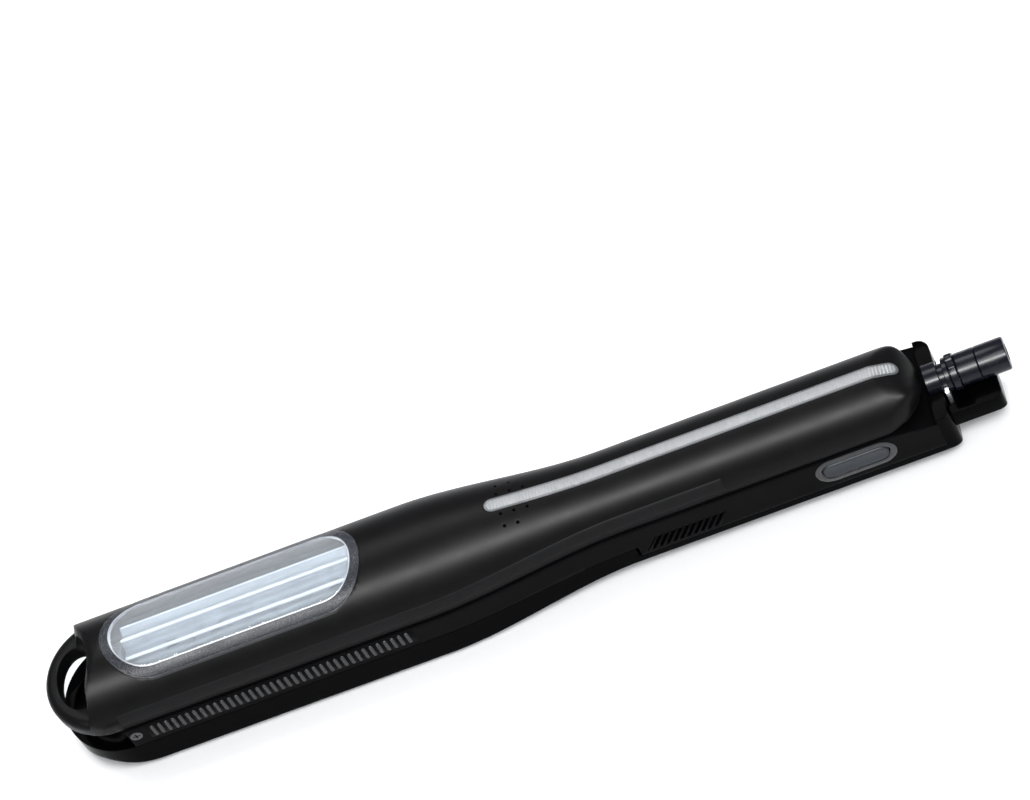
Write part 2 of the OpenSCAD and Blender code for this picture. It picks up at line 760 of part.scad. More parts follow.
module window_bezel() {
    color([0.2, 0.21, 0.22]) intersection() {
        difference() {
            upper_solid(window_at - 1, 0.35);
            upper_solid(window_at - 2, -wall + 0.1);
        }
        ring_prism(window_at, window_l, window_w, window_rim, part_z + head_r / 2, far);
    }
}
module window_lens() {
    color([0.8, 0.86, 0.9, 0.4]) intersection() {
        difference() {
            upper_solid(window_at - 1, 0);
            upper_solid(window_at - 2, -1.7);
        }
        prism(window_at + window_rim, window_l - 2 * window_rim, window_w - 2 * window_rim,
            part_z + head_r / 2, far);
    }
}
module light_strip() {
    color([0.85, 0.88, 0.9, 0.6]) intersection() {
        difference() {
            upper_solid(strip_at - 1, 0.3);
            upper_solid(strip_at - 2, -wall - 0.4);
        }
        prism(strip_at, strip_l, strip_w, part_z + strip_low, far);
    }
}
module strip_trim() {
    color([0.45, 0.46, 0.47]) intersection() {
        difference() {
            upper_solid(strip_at - 2, 0.12);
            upper_solid(strip_at - 3, -1.2);
        }
        ring_prism(strip_at - 0.7, strip_l + 1.4, strip_w + 1.4, 0.7, part_z + strip_low, far);
    }
}
module light_board() {
    z = part_z + handle_r - wall - 3;
    color([0.9, 0.9, 0.88]) union() {
        block(strip_at + 34, hinge_at - 8, -2.8, 2.8, z - 1.2, z);
        for (d = [strip_at + 40 : 10 : hinge_at - 14]) block(d, d + 3, -1.2, 1.2, z, z + 0.9);
    }
}
module bush_plate(d, t, holes) {
    difference() {
        intersection() {
            union() {
                block(d, d + t, -7, 7, up_z + wall, drum_z);
                rod_x(d, d + t, 7, 0, drum_z);
                if (holes > 1) {
                    block(d, d + t, 0, lay_y + 4, up_z + wall, drum_z);
                    rod_x(d, d + t, 4, lay_y, drum_z);
                }
            }
            block(d, d + t, -far, far, up_z + wall, far);
        }
        if (holes > 1) rod_x(d - 1, d + t + 1, 1 + run, lay_y, drum_z);
    }
}
module front_bracket() {
    color([0.62, 0.63, 0.65]) difference() {
        bush_plate(front_bracket_at, bracket_t, 1);
        rod_x(0, far, bush_r, 0, drum_z);
    }
}
module rear_bracket() {
    color([0.62, 0.63, 0.65]) difference() {
        bush_plate(rear_bracket_at, bracket_t, 2);
        rod_x(0, far, bush_r, 0, drum_z);
    }
}
module drum_bushes() {
    color([0.72, 0.55, 0.3]) for (d = [front_bracket_at, rear_bracket_at]) difference() {
        rod_x(d, d + bracket_t, bush_r, 0, drum_z);
        rod_x(d - 1, d + bracket_t + 1, shaft_r + run, 0, drum_z);
    }
}
module gear_plate() {
    color([0.62, 0.63, 0.65]) difference() {
        bush_plate(gear_plate_at, gear_plate_t, 2);
        rod_x(0, far, 1.6, 0, drum_z);
    }
}
module motor_can() {
    color([0.7, 0.71, 0.73]) union() {
        intersection() {
            rod_x(motor_at, motor_at + motor_l, 6, 0, drum_z);
            block(motor_at, motor_at + motor_l, -far, far, drum_z - 5, drum_z + 5);
        }
        rod_x(motor_at + motor_l, motor_at + motor_l + 1, 2, 0, drum_z);
    }
}
module buzzer() {
    z = part_z + 8;
    color([0.12, 0.12, 0.12]) rod_z(strip_at + 10, 0, 6, z, z + 3);
}

// ---- drum and gears ----
module crimp_drum() {
    core_r = drum_r - 3.4;
    tip = 0.7;
    color([0.66, 0.72, 0.76]) translate([nose_x + drum_at, 0, drum_z]) rotate([0, 90, 0])
        linear_extrude(drum_l) difference() {
            union() {
                circle(r = core_r);
                for (i = [0 : drum_fins - 1]) rotate(i * 360 / drum_fins) {
                    polygon([[core_r - 1, -1.5], [drum_r - tip, -tip], [drum_r - tip, tip],
                        [core_r - 1, 1.5]]);
                    translate([drum_r - tip, 0]) circle(r = tip, $fn = 24);
                }
            }
            circle(r = shaft_r);
        }
}
module drum_shaft() {
    color([0.75, 0.76, 0.78])
        rod_x(front_bracket_at - 0.5, drum_gear_at + gear_w + 0.5, shaft_r, 0, drum_z);
}
// A straight-toothed gear about X; turn sets where its teeth stand
module gear(d, teeth, y, turn, bore) {
    pitch_r = gear_m * teeth / 2;
    tip_r = pitch_r + 0.85 * gear_m;
    root_r = pitch_r - 1.2 * gear_m;
    half = 90 / teeth;
    steps = [[root_r, -1.1], [pitch_r, -0.8], [tip_r, -0.42], [tip_r, 0.42], [pitch_r, 0.8], [root_r, 1.1]];
    translate([nose_x + d, y, drum_z]) rotate([0, 90, 0]) rotate(turn) linear_extrude(gear_w)
        difference() {
            polygon([for (i = [0 : teeth - 1], s = steps)
                s[0] * [cos(4 * i * half + s[1] * half), sin(4 * i * half + s[1] * half)]]);
            circle(r = bore);
        }
}
module drum_gear() {
    color([0.88, 0.87, 0.82]) gear(drum_gear_at, gear_large, 0, 90, shaft_r);
}
module layshaft() {
    color([0.85, 0.84, 0.78]) union() {
        gear(drum_gear_at, gear_small, lay_y, 90 + 180 / gear_small, 0.8);
        gear(motor_gear_at, gear_large, lay_y, 90, 0.8);
        rod_x(drum_gear_at + gear_w - 0.1, motor_gear_at + 0.1, 1.8, lay_y, drum_z);
        rod_x(rear_bracket_at + 0.5, gear_plate_at + gear_plate_t - 0.3, 1, lay_y, drum_z);
    }
}
module motor_pinion() {
    color([0.72, 0.55, 0.3]) union() {
        gear(motor_gear_at, gear_small, 0, 90 + 180 / gear_small, 0.5);
        rod_x(motor_gear_at - 0.6, motor_at - 0.2, 0.9, 0, drum_z);
    }
}

lower_shell();
lower_inner_cover();
comb_strips();
side_screws();
vent_grilles();
plate_carrier();
plate_brackets();
plate_bumpers();
carrier_screws();
main_board();
board_parts();
button_bezel();
button_board();
tact_switch();
hinge_pin();
hinge_spring();
collar_fork();
deck_cover();
deck_screws();
heat_plate();
plate_heater();
heater_clamp();
float_springs();
power_button();
swivel_collar();
swivel_sleeve();
lock_ring();
upper_shell();
upper_inner_cover();
window_bezel();
window_lens();
light_strip();
strip_trim();
light_board();
side_bands();
front_bracket();
rear_bracket();
drum_bushes();
gear_plate();
motor_can();
buzzer();
upper_screws();
crimp_drum();
drum_shaft();
drum_gear();
layshaft();
motor_pinion();
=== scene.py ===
"""Looks of the hair crimper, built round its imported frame."""

import logging
import math
from collections.abc import Callable, Sequence
from dataclasses import dataclass
from enum import Enum

import bmesh
import bpy
from mathutils import Matrix, Vector


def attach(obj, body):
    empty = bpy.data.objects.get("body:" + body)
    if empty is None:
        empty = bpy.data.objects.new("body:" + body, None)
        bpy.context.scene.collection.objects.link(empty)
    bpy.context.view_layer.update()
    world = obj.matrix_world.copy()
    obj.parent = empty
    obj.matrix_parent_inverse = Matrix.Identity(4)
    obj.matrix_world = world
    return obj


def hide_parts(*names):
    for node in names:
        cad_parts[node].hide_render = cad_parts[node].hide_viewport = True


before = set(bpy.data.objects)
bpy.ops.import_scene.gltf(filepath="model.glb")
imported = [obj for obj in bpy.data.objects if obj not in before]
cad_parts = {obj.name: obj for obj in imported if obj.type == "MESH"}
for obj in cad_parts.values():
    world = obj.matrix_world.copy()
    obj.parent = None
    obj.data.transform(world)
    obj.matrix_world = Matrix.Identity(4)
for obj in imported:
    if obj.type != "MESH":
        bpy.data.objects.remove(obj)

log = logging.getLogger("crimper")
Point = tuple[float, float, float]
MM = 0.001


class Body(Enum):
    """Bodies of the frame that the pieces ride on."""

    LOWER = "lower_arm"
    UPPER = "upper_arm"
    DRUM = "drum"
    BUTTON = "button"
    COLLAR = "collar"
    LOCK = "lock"


# ---------------------------------------------------------------- finishes
@dataclass(frozen=True)
class Finish:
    """A moulded, painted or metal surface with its own small variation.

    Sizes are in millimetres, so that grain stays at its real scale.
    """

    name: str
    colour: tuple[float, float, float]
    roughness: float = 0.4
    metallic: float = 0.0
    mottle: float = 0.1
    mottle_mm: float = 12.0
    grain: float = 0.0
    grain_mm: float = 0.5
    smear: float = 0.06
    coat: float = 0.0
    coat_roughness: float = 0.1
    specular: float = 0.5
    stretch: tuple[float, float, float] = (1.0, 1.0, 1.0)
    speckle: tuple[float, float, float] | None = None
    speckle_mm: float = 0.4
    alpha: float = 1.0

    def make(self) -> bpy.types.Material:
        """Builds the node material.

        Returns:
            The finished material.
        """
        material = bpy.data.materials.new(self.name)
        material.use_nodes = True
        nodes, links = material.node_tree.nodes, material.node_tree.links
        shader = nodes["Principled BSDF"]
        shader.inputs["Metallic"].default_value = self.metallic
        shader.inputs["Specular IOR Level"].default_value = self.specular
        shader.inputs["Coat Weight"].default_value = self.coat
        shader.inputs["Coat Roughness"].default_value = self.coat_roughness
        shader.inputs["Alpha"].default_value = self.alpha
        place = nodes.new("ShaderNodeTexCoord")
        scale = nodes.new("ShaderNodeMapping")
        scale.inputs["Scale"].default_value = self.stretch
        links.new(place.outputs["Object"], scale.inputs["Vector"])

        def noise(size_mm: float, detail: float) -> bpy.types.NodeSocket:
            """Adds a noise texture whose features are size_mm wide."""
            node = nodes.new("ShaderNodeTexNoise")
            node.inputs["Scale"].default_value = 1.0 / (size_mm * MM)
            node.inputs["Detail"].default_value = detail
            links.new(scale.outputs["Vector"], node.inputs["Vector"])
            return node.outputs["Fac"]

        def spread(source: bpy.types.NodeSocket, low: float, high: float) -> bpy.types.NodeSocket:
            """Maps the middle of a noise onto low to high."""
            node = nodes.new("ShaderNodeMapRange")
            node.inputs["From Min"].default_value = 0.3
            node.inputs["From Max"].default_value = 0.7
            node.inputs["To Min"].default_value = low
            node.inputs["To Max"].default_value = high
            links.new(source, node.inputs["Value"])
            return node.outputs["Result"]

        broad = noise(self.mottle_mm, 3.0)
        ramp = nodes.new("ShaderNodeMix")
        ramp.data_type = "RGBA"
        ramp.inputs["A"].default_value = (*[c * (1 - self.mottle) for c in self.colour], 1)
        ramp.inputs["B"].default_value = (*[min(1, c * (1 + self.mottle)) for c in self.colour], 1)
        links.new(spread(broad, 0.0, 1.0), ramp.inputs["Factor"])
        colour = ramp.outputs["Result"]
        if self.speckle:
            dots = nodes.new("ShaderNodeMix")
            dots.data_type = "RGBA"
            dots.inputs["B"].default_value = (*self.speckle, 1)
            links.new(colour, dots.inputs["A"])
            fine = noise(self.speckle_mm, 1.0)
            grade = nodes.new("ShaderNodeMapRange")
            grade.inputs["From Min"].default_value = 0.52
            grade.inputs["From Max"].default_value = 0.68
            links.new(fine, grade.inputs["Value"])
            links.new(grade.outputs["Result"], dots.inputs["Factor"])
            colour = dots.outputs["Result"]
        links.new(colour, shader.inputs["Base Color"])
        rough = spread(noise(self.mottle_mm * 0.6, 4.0), self.roughness - self.smear,
                       self.roughness + self.smear)
        links.new(rough, shader.inputs["Roughness"])
        if self.grain:
            bump = nodes.new("ShaderNodeBump")
            bump.inputs["Strength"].default_value = self.grain
            bump.inputs["Distance"].default_value = 0.05 * MM
            links.new(noise(self.grain_mm, 2.0), bump.inputs["Height"])
            links.new(bump.outputs["Normal"], shader.inputs["Normal"])
        return material


@dataclass(frozen=True)
class Clear(Finish):
    """A see-through moulding that lets light through without bending it much."""

    transmission: float = 1.0
    ior: float = 1.3
    sheen: float = 0.0

    def make(self) -> bpy.types.Material:
        """Builds the clear material on top of the plain one."""
        material = super().make()
        shader = material.node_tree.nodes["Principled BSDF"]
        shader.inputs["Transmission Weight"].default_value = self.transmission
        shader.inputs["IOR"].default_value = self.ior
        shader.inputs["Sheen Weight"].default_value = self.sheen
        shader.inputs["Sheen Roughness"].default_value = 0.35
        return material


SOFT_BLACK = Finish("soft_black", (0.0032, 0.0032, 0.0035), 0.36, mottle=0.12, grain=0.1,
                    grain_mm=0.22, smear=0.025, specular=0.055)
GLOSS_BLACK = Finish("gloss_black", (0.0008, 0.0008, 0.001), 0.14, mottle=0.1, smear=0.03,
                     specular=0.01)
COVER_BLACK = Finish("cover_black", (0.0015, 0.0015, 0.0018), 0.34, grain=0.1, grain_mm=0.3,
                     smear=0.04, specular=0.015)
BAND_BLACK = Finish("band_black", (0.005, 0.005, 0.0055), 0.5, grain=0.2, grain_mm=0.25,
                    specular=0.06)
RIB_GREY = Finish("rib_grey", (0.013, 0.013, 0.014), 0.3, grain=0.1, specular=0.25)
SMOKE = Finish("smoke_bezel", (0.02, 0.022, 0.026), 0.3, speckle=(0.085, 0.09, 0.1),
               speckle_mm=0.3, specular=0.06)
PALE_DRUM = Finish("pale_drum", (0.15, 0.17, 0.19), 0.3, mottle=0.05, smear=0.05, coat=0.12)
LENS = Clear("clear_lens", (0.8, 0.84, 0.88), 0.02, mottle=0.01, smear=0.01, specular=0.6,
             transmission=0.9, ior=1.12, sheen=0.9)
# Lighter colour for the crimping drum's fin tips: a painted highlight.
FIN_TIP_HIGHLIGHT = Finish("fin_tip_highlight", (0.5, 0.53, 0.56), 0.22, mottle=0.06)
# Pale and grey finishes for the thin rings at the pane's edge and the frame's outer edge: painted
# highlights along those edges.
PANE_HIGHLIGHT = Finish("pane_highlight_ring", (0.32, 0.34, 0.37), 0.25)
FRAME_HIGHLIGHT = Finish("frame_highlight_ring", (0.04, 0.043, 0.048), 0.25, specular=0.1)
RIBBED = Clear("clear_ribs", (0.42, 0.43, 0.44), 0.16, mottle=0.04, smear=0.03,
               transmission=0.5, ior=1.4)
TRIM_GREY = Finish("trim_grey", (0.075, 0.08, 0.085), 0.3)
BUTTON_BLUE = Finish("button_rubber", (0.012, 0.015, 0.02), 0.5, grain=0.3, grain_mm=0.3,
                     specular=0.2)
BUTTON_RIM = Finish("button_rim", (0.008, 0.009, 0.011), 0.25, specular=0.3)
BLUE_BLACK = Finish("collar_black", (0.003, 0.0035, 0.007), 0.24, specular=0.14)
STEEL = Finish("satin_steel", (0.56, 0.57, 0.59), 0.32, 1.0, mottle=0.06, grain=0.2, grain_mm=0.4,
               stretch=(0.08, 1.0, 1.0))
BRASS = Finish("bush_brass", (0.62, 0.43, 0.2), 0.35, 1.0, mottle=0.1)
COATED_PLATE = Finish("coated_plate", (0.36, 0.33, 0.29), 0.3, 0.7, mottle=0.08, grain=0.15)
HEAT_RESIN = Finish("heat_resin", (0.62, 0.57, 0.46), 0.55, grain=0.3)
GEAR_RESIN = Finish("gear_resin", (0.75, 0.73, 0.66), 0.4, mottle=0.04)
BOARD = Finish("board_green", (0.012, 0.11, 0.045), 0.35, mottle=0.3, mottle_mm=2.0,
               speckle=(0.3, 0.26, 0.1), speckle_mm=1.1)
CHIP = Finish("chip_black", (0.02, 0.02, 0.022), 0.45, grain=0.2)
LAMP_WHITE = Finish("lamp_white", (0.8, 0.8, 0.77), 0.4)
BUMPER = Finish("bumper_rubber", (0.1, 0.1, 0.105), 0.65, grain=0.4)
FLOOR = Finish("pale_floor", (0.87, 0.875, 0.88), 0.6, mottle=0.004, mottle_mm=400, smear=0.02)

_made: dict[str, bpy.types.Material] = {}


def material_of(finish: Finish) -> bpy.types.Material:
    """Makes a finish's material once.

    Args:
        finish: The finish that is wanted.

    Returns:
        Its material.
    """
    if finish.name not in _made:
        _made[finish.name] = finish.make()
    return _made[finish.name]


def dress(obj: bpy.types.Object, finish: Finish) -> None:
    """Gives an object one finish over its whole surface.

    Args:
        obj: The object to dress.
        finish: The finish it takes.
    """
    if not obj.material_slots:
        obj.data.materials.append(None)
    for slot in obj.material_slots:
        slot.material = material_of(finish)


# ---------------------------------------------------------------- mesh tools
def mesh_object(name: str, bm: bmesh.types.BMesh) -> bpy.types.Object:
    """Turns a bmesh into an object in the scene with outward faces."""
    bmesh.ops.remove_doubles(bm, verts=bm.verts, dist=0.002 * MM)
    bmesh.ops.recalc_face_normals(bm, faces=bm.faces)
    mesh = bpy.data.meshes.new(name)
    bm.to_mesh(mesh)
    bm.free()
    obj = bpy.data.objects.new(name, mesh)
    bpy.context.scene.collection.objects.link(obj)
    return obj


def loft(name: str, rings: Sequence[Sequence[Point]]) -> bpy.types.Object:
    """Skins closed rings of equal length and caps both ends.

    Args:
        name: Name of the new object.
        rings: Rings of points, in metres.

    Returns:
        The closed solid.
    """
    bm = bmesh.new()
    rows = [[bm.verts.new(p) for p in ring] for ring in rings]
    count = len(rows[0])
    for row, after in zip(rows, rows[1:]):
        for i in range(count):
            bm.faces.new((row[i], row[(i + 1) % count], after[(i + 1) % count], after[i]))
    bm.faces.new(rows[0])
    bm.faces.new(list(reversed(rows[-1])))
    return mesh_object(name, bm)


def prism(name: str, outline: Sequence[tuple[float, float]], low: float, high: float,
          place: Callable[[float, float, float], Point]) -> bpy.types.Object:
    """Extrudes a flat outline from low to high.

    Args:
        name: Name of the new object.
        outline: Corner points in the outline's own plane.
        low: Start of the extrusion.
        high: End of the extrusion.
        place: Maps (u, v, w) onto a point in the frame.

    Returns:
        The closed prism.
    """
    return loft(name, [[place(u, v, w) for u, v in outline] for w in (low, high)])


def boolean(obj: bpy.types.Object, other: bpy.types.Object, mode: str = "DIFFERENCE") -> None:
    """Combines two solids exactly and removes the second one.

    Args:
        obj: The solid that is kept.
        other: The solid that cuts, joins or bounds it.
        mode: DIFFERENCE, UNION or INTERSECT.
    """
    step = obj.modifiers.new("combine", "BOOLEAN")
    step.operation = mode
    step.solver = "EXACT"
    step.object = other
    apply_all(obj)
    bpy.data.objects.remove(other)


def apply_all(obj: bpy.types.Object) -> None:
    """Applies every modifier on an object."""
    bpy.context.view_layer.update()
    evaluated = obj.evaluated_get(bpy.context.evaluated_depsgraph_get())
    mesh = bpy.data.meshes.new_from_object(evaluated)
    obj.modifiers.clear()
    old = obj.data
    obj.data = mesh
    bpy.data.meshes.remove(old)


def soften(obj: bpy.types.Object, width_mm: float, segments: int = 2, angle: float = 38) -> None:
    """Rounds an object's sharp edges."""
    step = obj.modifiers.new("edge", "BEVEL")
    step.width = width_mm * MM
    step.segments = segments
    step.limit_method = "ANGLE"
    step.angle_limit = math.radians(angle)
    step.use_clamp_overlap = True
    step.harden_normals = False
    apply_all(obj)


def shade(obj: bpy.types.Object, angle: float = 32) -> None:
    """Shades smooth except across edges sharper than the angle."""
    for face in obj.data.polygons:
        face.use_smooth = True
    obj.data.set_sharp_from_angle(angle=math.radians(angle))


def join(name: str, parts: Sequence[bpy.types.Object]) -> bpy.types.Object:
    """Joins separate solids into one piece."""
    bm = bmesh.new()
    for part in parts:
        bm.from_mesh(part.data)
        bpy.data.objects.remove(part)
    mesh = bpy.data.meshes.new(name)
    bm.to_mesh(mesh)
    bm.free()
    obj = bpy.data.objects.new(name, mesh)
    bpy.context.scene.collection.objects.link(obj)
    return obj


def fit(obj: bpy.types.Object, body: Body, finish: Finish, *nodes: str, slot: str = "") -> None:
    """Dresses a piece, sets it on its body and lets it stand for frame nodes.

    Args:
        obj: The piece.
        body: The body it moves with.
        finish: Its finish.
        nodes: Frame nodes that it replaces.
        slot: Not used.
    """
    dress(obj, finish)
    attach(obj, body.value)
    if nodes:
        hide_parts(*nodes)
    log.info("built %s with %d faces", obj.name, len(obj.data.polygons))


# ---------------------------------------------------------------- shared outlines
def smooth(t: float) -> float:
    """Eases from 0 to 1."""
    t = min(1.0, max(0.0, t))
    return t * t * (3 - 2 * t)


def span(low: float, high: float, count: int) -> list[float]:
    """Lists evenly spaced numbers with both ends."""
    return [low + (high - low) * i / (count - 1) for i in range(count)]


def stadium(length: float, width: float, count: int = 20) -> list[tuple[float, float]]:
    """Outline of a slot with round ends, centred on the origin.

    Args:
        length: Whole length along u.
        width: Width along v.
        count: Points round each end.

    Returns:
        Points in order round the slot.
    """
    r, half = width / 2, (length - width) / 2
    points = []
    for sign, start in ((1, -90), (-1, 90)):
        for a in span(start, start + 180, count):
            points.append((sign * half + r * math.cos(math.radians(a)),
                           r * math.sin(math.radians(a))))
    return points


@dataclass(frozen=True)
class Plan:
    """Sizes that both arms share, in millimetres back from the nose tip."""

    nose_x: float = -170.0
    part_z: float = 23.6
    up_z: float = 24.0
    head_r: float = 21.4
    handle_r: float = 15.4
    flare: float = 0.8
    neck_at: float = 133.0
    neck_l: float = 70.0
    hinge_at: float = 295.4
    hole_at: float = 12.9
    hole_a: float = 8.0
    hole_b: float = 12.2
    keel_head: float = 31.0
    keel_handle: float = 24.2
    relief_deg: float = 9.0

    def neck(self, d: float) -> float:
        """Share of the change from head to handle at distance d."""
        return smooth((d - self.neck_at) / self.neck_l)

    def arm_r(self, d: float) -> float:
        """Radius of the upper arm at distance d."""
        return self.head_r + (self.handle_r - self.head_r) * self.neck(d)

    def keel_r(self, d: float) -> float:
        """Radius of the lower arm's keel at distance d."""
        nose = 10 * (1 - smooth(d / 34)) ** 2
        return self.keel_head + (self.keel_handle - self.keel_head) * self.neck(d) - nose

    def at(self, d: float, y: float, z: float) -> Point:
        """Turns millimetres into a point of the frame."""
        return ((self.nose_x + d) * MM, y * MM, z * MM)

    def side(self, d: float, z: float, y: float) -> Point:
        """Turns millimetres of an outline seen from the side into a point of the frame."""
        return self.at(d, y, z)


PLAN = Plan()


# ---------------------------------------------------------------- stage
@dataclass
class Studio:
    """Camera, floor and soft lights."""

    eye: Point = (0.25717, -0.8983, 1.3112)
    target: Point = (0.0083, 0.05044, 0.0236)
    roll: float = -0.561
    focal_px: float = 4817.6
    image_w: float = 1030.0
    sensor: float = 36.0

    def build(self) -> None:
        """Adds everything that isn't the object."""
        self.camera()
        self.floor()
        self.light("key", (0.35, -0.55, 1.15), (0.0, 0.0, 0.02), (0.9, 0.55), 17.0)
        self.light("top", (-0.15, 0.55, 1.1), (0.0, 0.0, 0.02), (1.1, 0.5), 13.0)
        side = self.light("side", (0.0, -1.0, 1.2), (0.0, 0.0, 0.02), (2.4, 0.26), 150.0)
        side.visible_diffuse = False
        world = bpy.data.worlds.new("soft_room")
        world.use_nodes = True
        back = world.node_tree.nodes["Background"]
        back.inputs["Color"].default_value = (0.93, 0.95, 1.0, 1.0)
        back.inputs["Strength"].default_value = 0.5
        bpy.context.scene.world = world
        bpy.context.scene.view_settings.view_transform = "Standard"

    def camera(self) -> None:
        """Adds the camera at the fitted place and tilt."""
        data = bpy.data.cameras.new("view")
        data.sensor_width = self.sensor
        data.lens = self.focal_px / self.image_w * self.sensor
        data.clip_end = 10.0
        cam = bpy.data.objects.new("view", data)
        bpy.context.scene.collection.objects.link(cam)
        eye = Vector(self.eye)
        ahead = (Vector(self.target) - eye).normalized()
        right = ahead.cross(Vector((0, 0, 1))).normalized()
        up = right.cross(ahead)
        c, s = math.cos(self.roll), math.sin(self.roll)
        side, top = c * right + s * up, c * up - s * right
        turn = Matrix((side, top, -ahead)).transposed().to_4x4()
        cam.matrix_world = Matrix.Translation(eye) @ turn
        bpy.context.scene.camera = cam

    def floor(self) -> None:
        """Adds the pale floor just under the object."""
        bm = bmesh.new()
        reach, drop = 3.0, -0.0004
        rows = [[bm.verts.new((x, y, drop)) for x in span(-reach, reach, 13)]
                for y in span(-reach, reach, 13)]
        for a, b in zip(rows, rows[1:]):
            for i in range(12):
                bm.faces.new((a[i], a[i + 1], b[i + 1], b[i]))
        floor = mesh_object("floor", bm)
        if floor.data.polygons[0].normal.z < 0:
            floor.data.flip_normals()
        dress(floor, FLOOR)

    def light(self, name: str, place: Point, aim: Point, size: tuple[float, float],
              power: float) -> bpy.types.Object:
        """Adds one soft rectangular light and returns it."""
        data = bpy.data.lights.new(name, "AREA")
        data.shape = "RECTANGLE"
        data.size, data.size_y = size
        data.energy = power
        lamp = bpy.data.objects.new(name, data)
        lamp.location = place
        way = Vector(aim) - Vector(place)
        lamp.rotation_euler = way.to_track_quat("-Z", "Y").to_euler()
        bpy.context.scene.collection.objects.link(lamp)
        return lamp


NODE_FINISHES: dict[str, Finish] = {
    "lower_shell": GLOSS_BLACK, "lower_inner_cover": COVER_BLACK, "comb_strips": RIB_GREY,
    "side_screws": CHIP, "vent_grilles": COVER_BLACK, "plate_carrier": HEAT_RESIN,
    "plate_brackets": STEEL, "plate_bumpers": BUMPER, "carrier_screws": STEEL,
    "main_board": BOARD, "board_parts": CHIP, "button_bezel": SMOKE, "button_board": BOARD,
    "tact_switch": CHIP, "hinge_pin": STEEL, "hinge_spring": STEEL, "collar_fork": STEEL,
    "deck_cover": COVER_BLACK, "deck_screws": STEEL, "heat_plate": COATED_PLATE,
    "plate_heater": HEAT_RESIN, "heater_clamp": STEEL, "float_springs": STEEL,
    "power_button": BUTTON_BLUE, "swivel_collar": BLUE_BLACK, "swivel_sleeve": BLUE_BLACK,
    "lock_ring": BLUE_BLACK, "upper_shell": SOFT_BLACK, "upper_inner_cover": COVER_BLACK,
    "window_bezel": SMOKE, "window_lens": LENS, "light_strip": RIBBED, "strip_trim": TRIM_GREY,
    "light_board": LAMP_WHITE, "side_bands": BAND_BLACK, "front_bracket": STEEL,
    "rear_bracket": STEEL, "drum_bushes": BRASS, "gear_plate": STEEL, "motor_can": STEEL,
    "buzzer": CHIP, "upper_screws": STEEL, "crimp_drum": PALE_DRUM, "drum_shaft": STEEL,
    "drum_gear": GEAR_RESIN, "layshaft": GEAR_RESIN, "motor_pinion": BRASS,
}


def dress_frame() -> None:
    """Gives every frame node that still shows its finish."""
    for name, finish in NODE_FINISHES.items():
        dress(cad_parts[name], finish)


# ---------------------------------------------------------------- upper arm
def around(radius: float, t: float, angle: float) -> float:
    """Radius of the arm's section behind the hinge.

    Args:
        radius: Radius of the arm ahead of the hinge.
        t: Distance behind the hinge, in millimetres.
        angle: Direction round the arm's axis, in radians.

    Returns:
        Distance from the axis to the skin.
    """
    if t <= 0:
        return radius
    half = math.sqrt(max(0.0, radius * radius - t * t))
    power = 10.0
    square = half / (abs(math.cos(angle)) ** power + abs(math.sin(angle)) ** power) ** (1 / power)
    blend = 3.0 * smooth(t / 6) + 1e-6
    near = max(blend - abs(radius - square), 0.0) / blend
    return min(radius, square) - near * near * blend / 4


@dataclass(frozen=True)
class UpperForm:
    """Skin of the upper arm, from which its shell, frame and strip are cut."""

    steps: int = 72

    def solid(self, name: str, start: float, grow: float = 0.0, low: float = PLAN.up_z,
              end: float = 310.5, pitch: float = 1.6) -> bpy.types.Object:
        """Lofts the arm from start back to its rounded end.

        Args:
            name: Name of the new object.
            start: Distance from the nose tip where the loft starts.
            grow: How far the skin is moved out.
            low: Lowest height of the solid.
            end: Distance where the loft ends.
            pitch: Spacing of the rings.

        Returns:
            The closed solid.
        """
        stop = min(end, 310.5 + grow)
        split = min(PLAN.hinge_at, stop)
        count = max(2, round((split - start) / pitch))
        places = span(start, split, count)
        if stop > split:
            places += span(split, stop, max(3, round((stop - split) / 0.55)))[1:]
        return loft(name, [self.ring(d, grow, low) for d in places])

    def ring(self, d: float, grow: float, low: float) -> list[Point]:
        """Lists one section, from the -Y side over the top to the +Y side."""
        radius = PLAN.arm_r(d) + grow
        t = max(0.0, d - PLAN.hinge_at)
        floor = low - PLAN.part_z
        if t:
            floor = max(floor, PLAN.up_z - PLAN.part_z + t * math.tan(
                math.radians(PLAN.relief_deg)) - max(0.0, -grow))
        first = 0.0
        for _ in range(24):
            reach = around(radius, t, first)
            first = math.asin(min(1.0, max(0.0, floor / max(reach, 0.01))))
        points = []
        for angle in span(first, math.pi - first, self.steps):
            reach = around(radius, t, angle)
            points.append(PLAN.at(d, -reach * math.cos(angle),
                                  PLAN.part_z + max(floor, reach * math.sin(angle))))
        return points


def slot_prism(name: str, start: float, length: float, width: float, low: float,
               high: float) -> bpy.types.Object:
    """Raises a slot outline that starts at distance start from the nose tip."""
    middle = start + length / 2
    return prism(name, stadium(length, width), low, high,
                 lambda u, v, w: PLAN.at(middle + u, v, w))


def box_solid(name: str, x: tuple[float, float], y: tuple[float, float],
              z: tuple[float, float]) -> bpy.types.Object:
    """Makes a working box for cutting, in millimetres from the nose tip."""
    corners = [(x[0], y[0]), (x[1], y[0]), (x[1], y[1]), (x[0], y[1])]
    return prism(name, corners, z[0], z[1], PLAN.at)


def finger_hole(low: float, high: float) -> bpy.types.Object:
    """Makes the elliptical cutter of the finger hole."""
    outline = [(PLAN.hole_at - PLAN.hole_a * math.cos(math.radians(a)),
                PLAN.hole_b * math.sin(math.radians(a))) for a in range(0, 360, 4)]
    return prism("cutter", outline, low, high, PLAN.at)


def nose_outline(radius: float, back: float) -> list[tuple[float, float]]:
    """Outline of the nose seen from above, from its tip back to a straight edge."""
    arc = [(PLAN.head_r - radius * math.sin(math.radians(a)), -radius * math.cos(math.radians(a)))
           for a in span(0, 180, 60)]
    return [*arc, (back, radius), (back, -radius)]


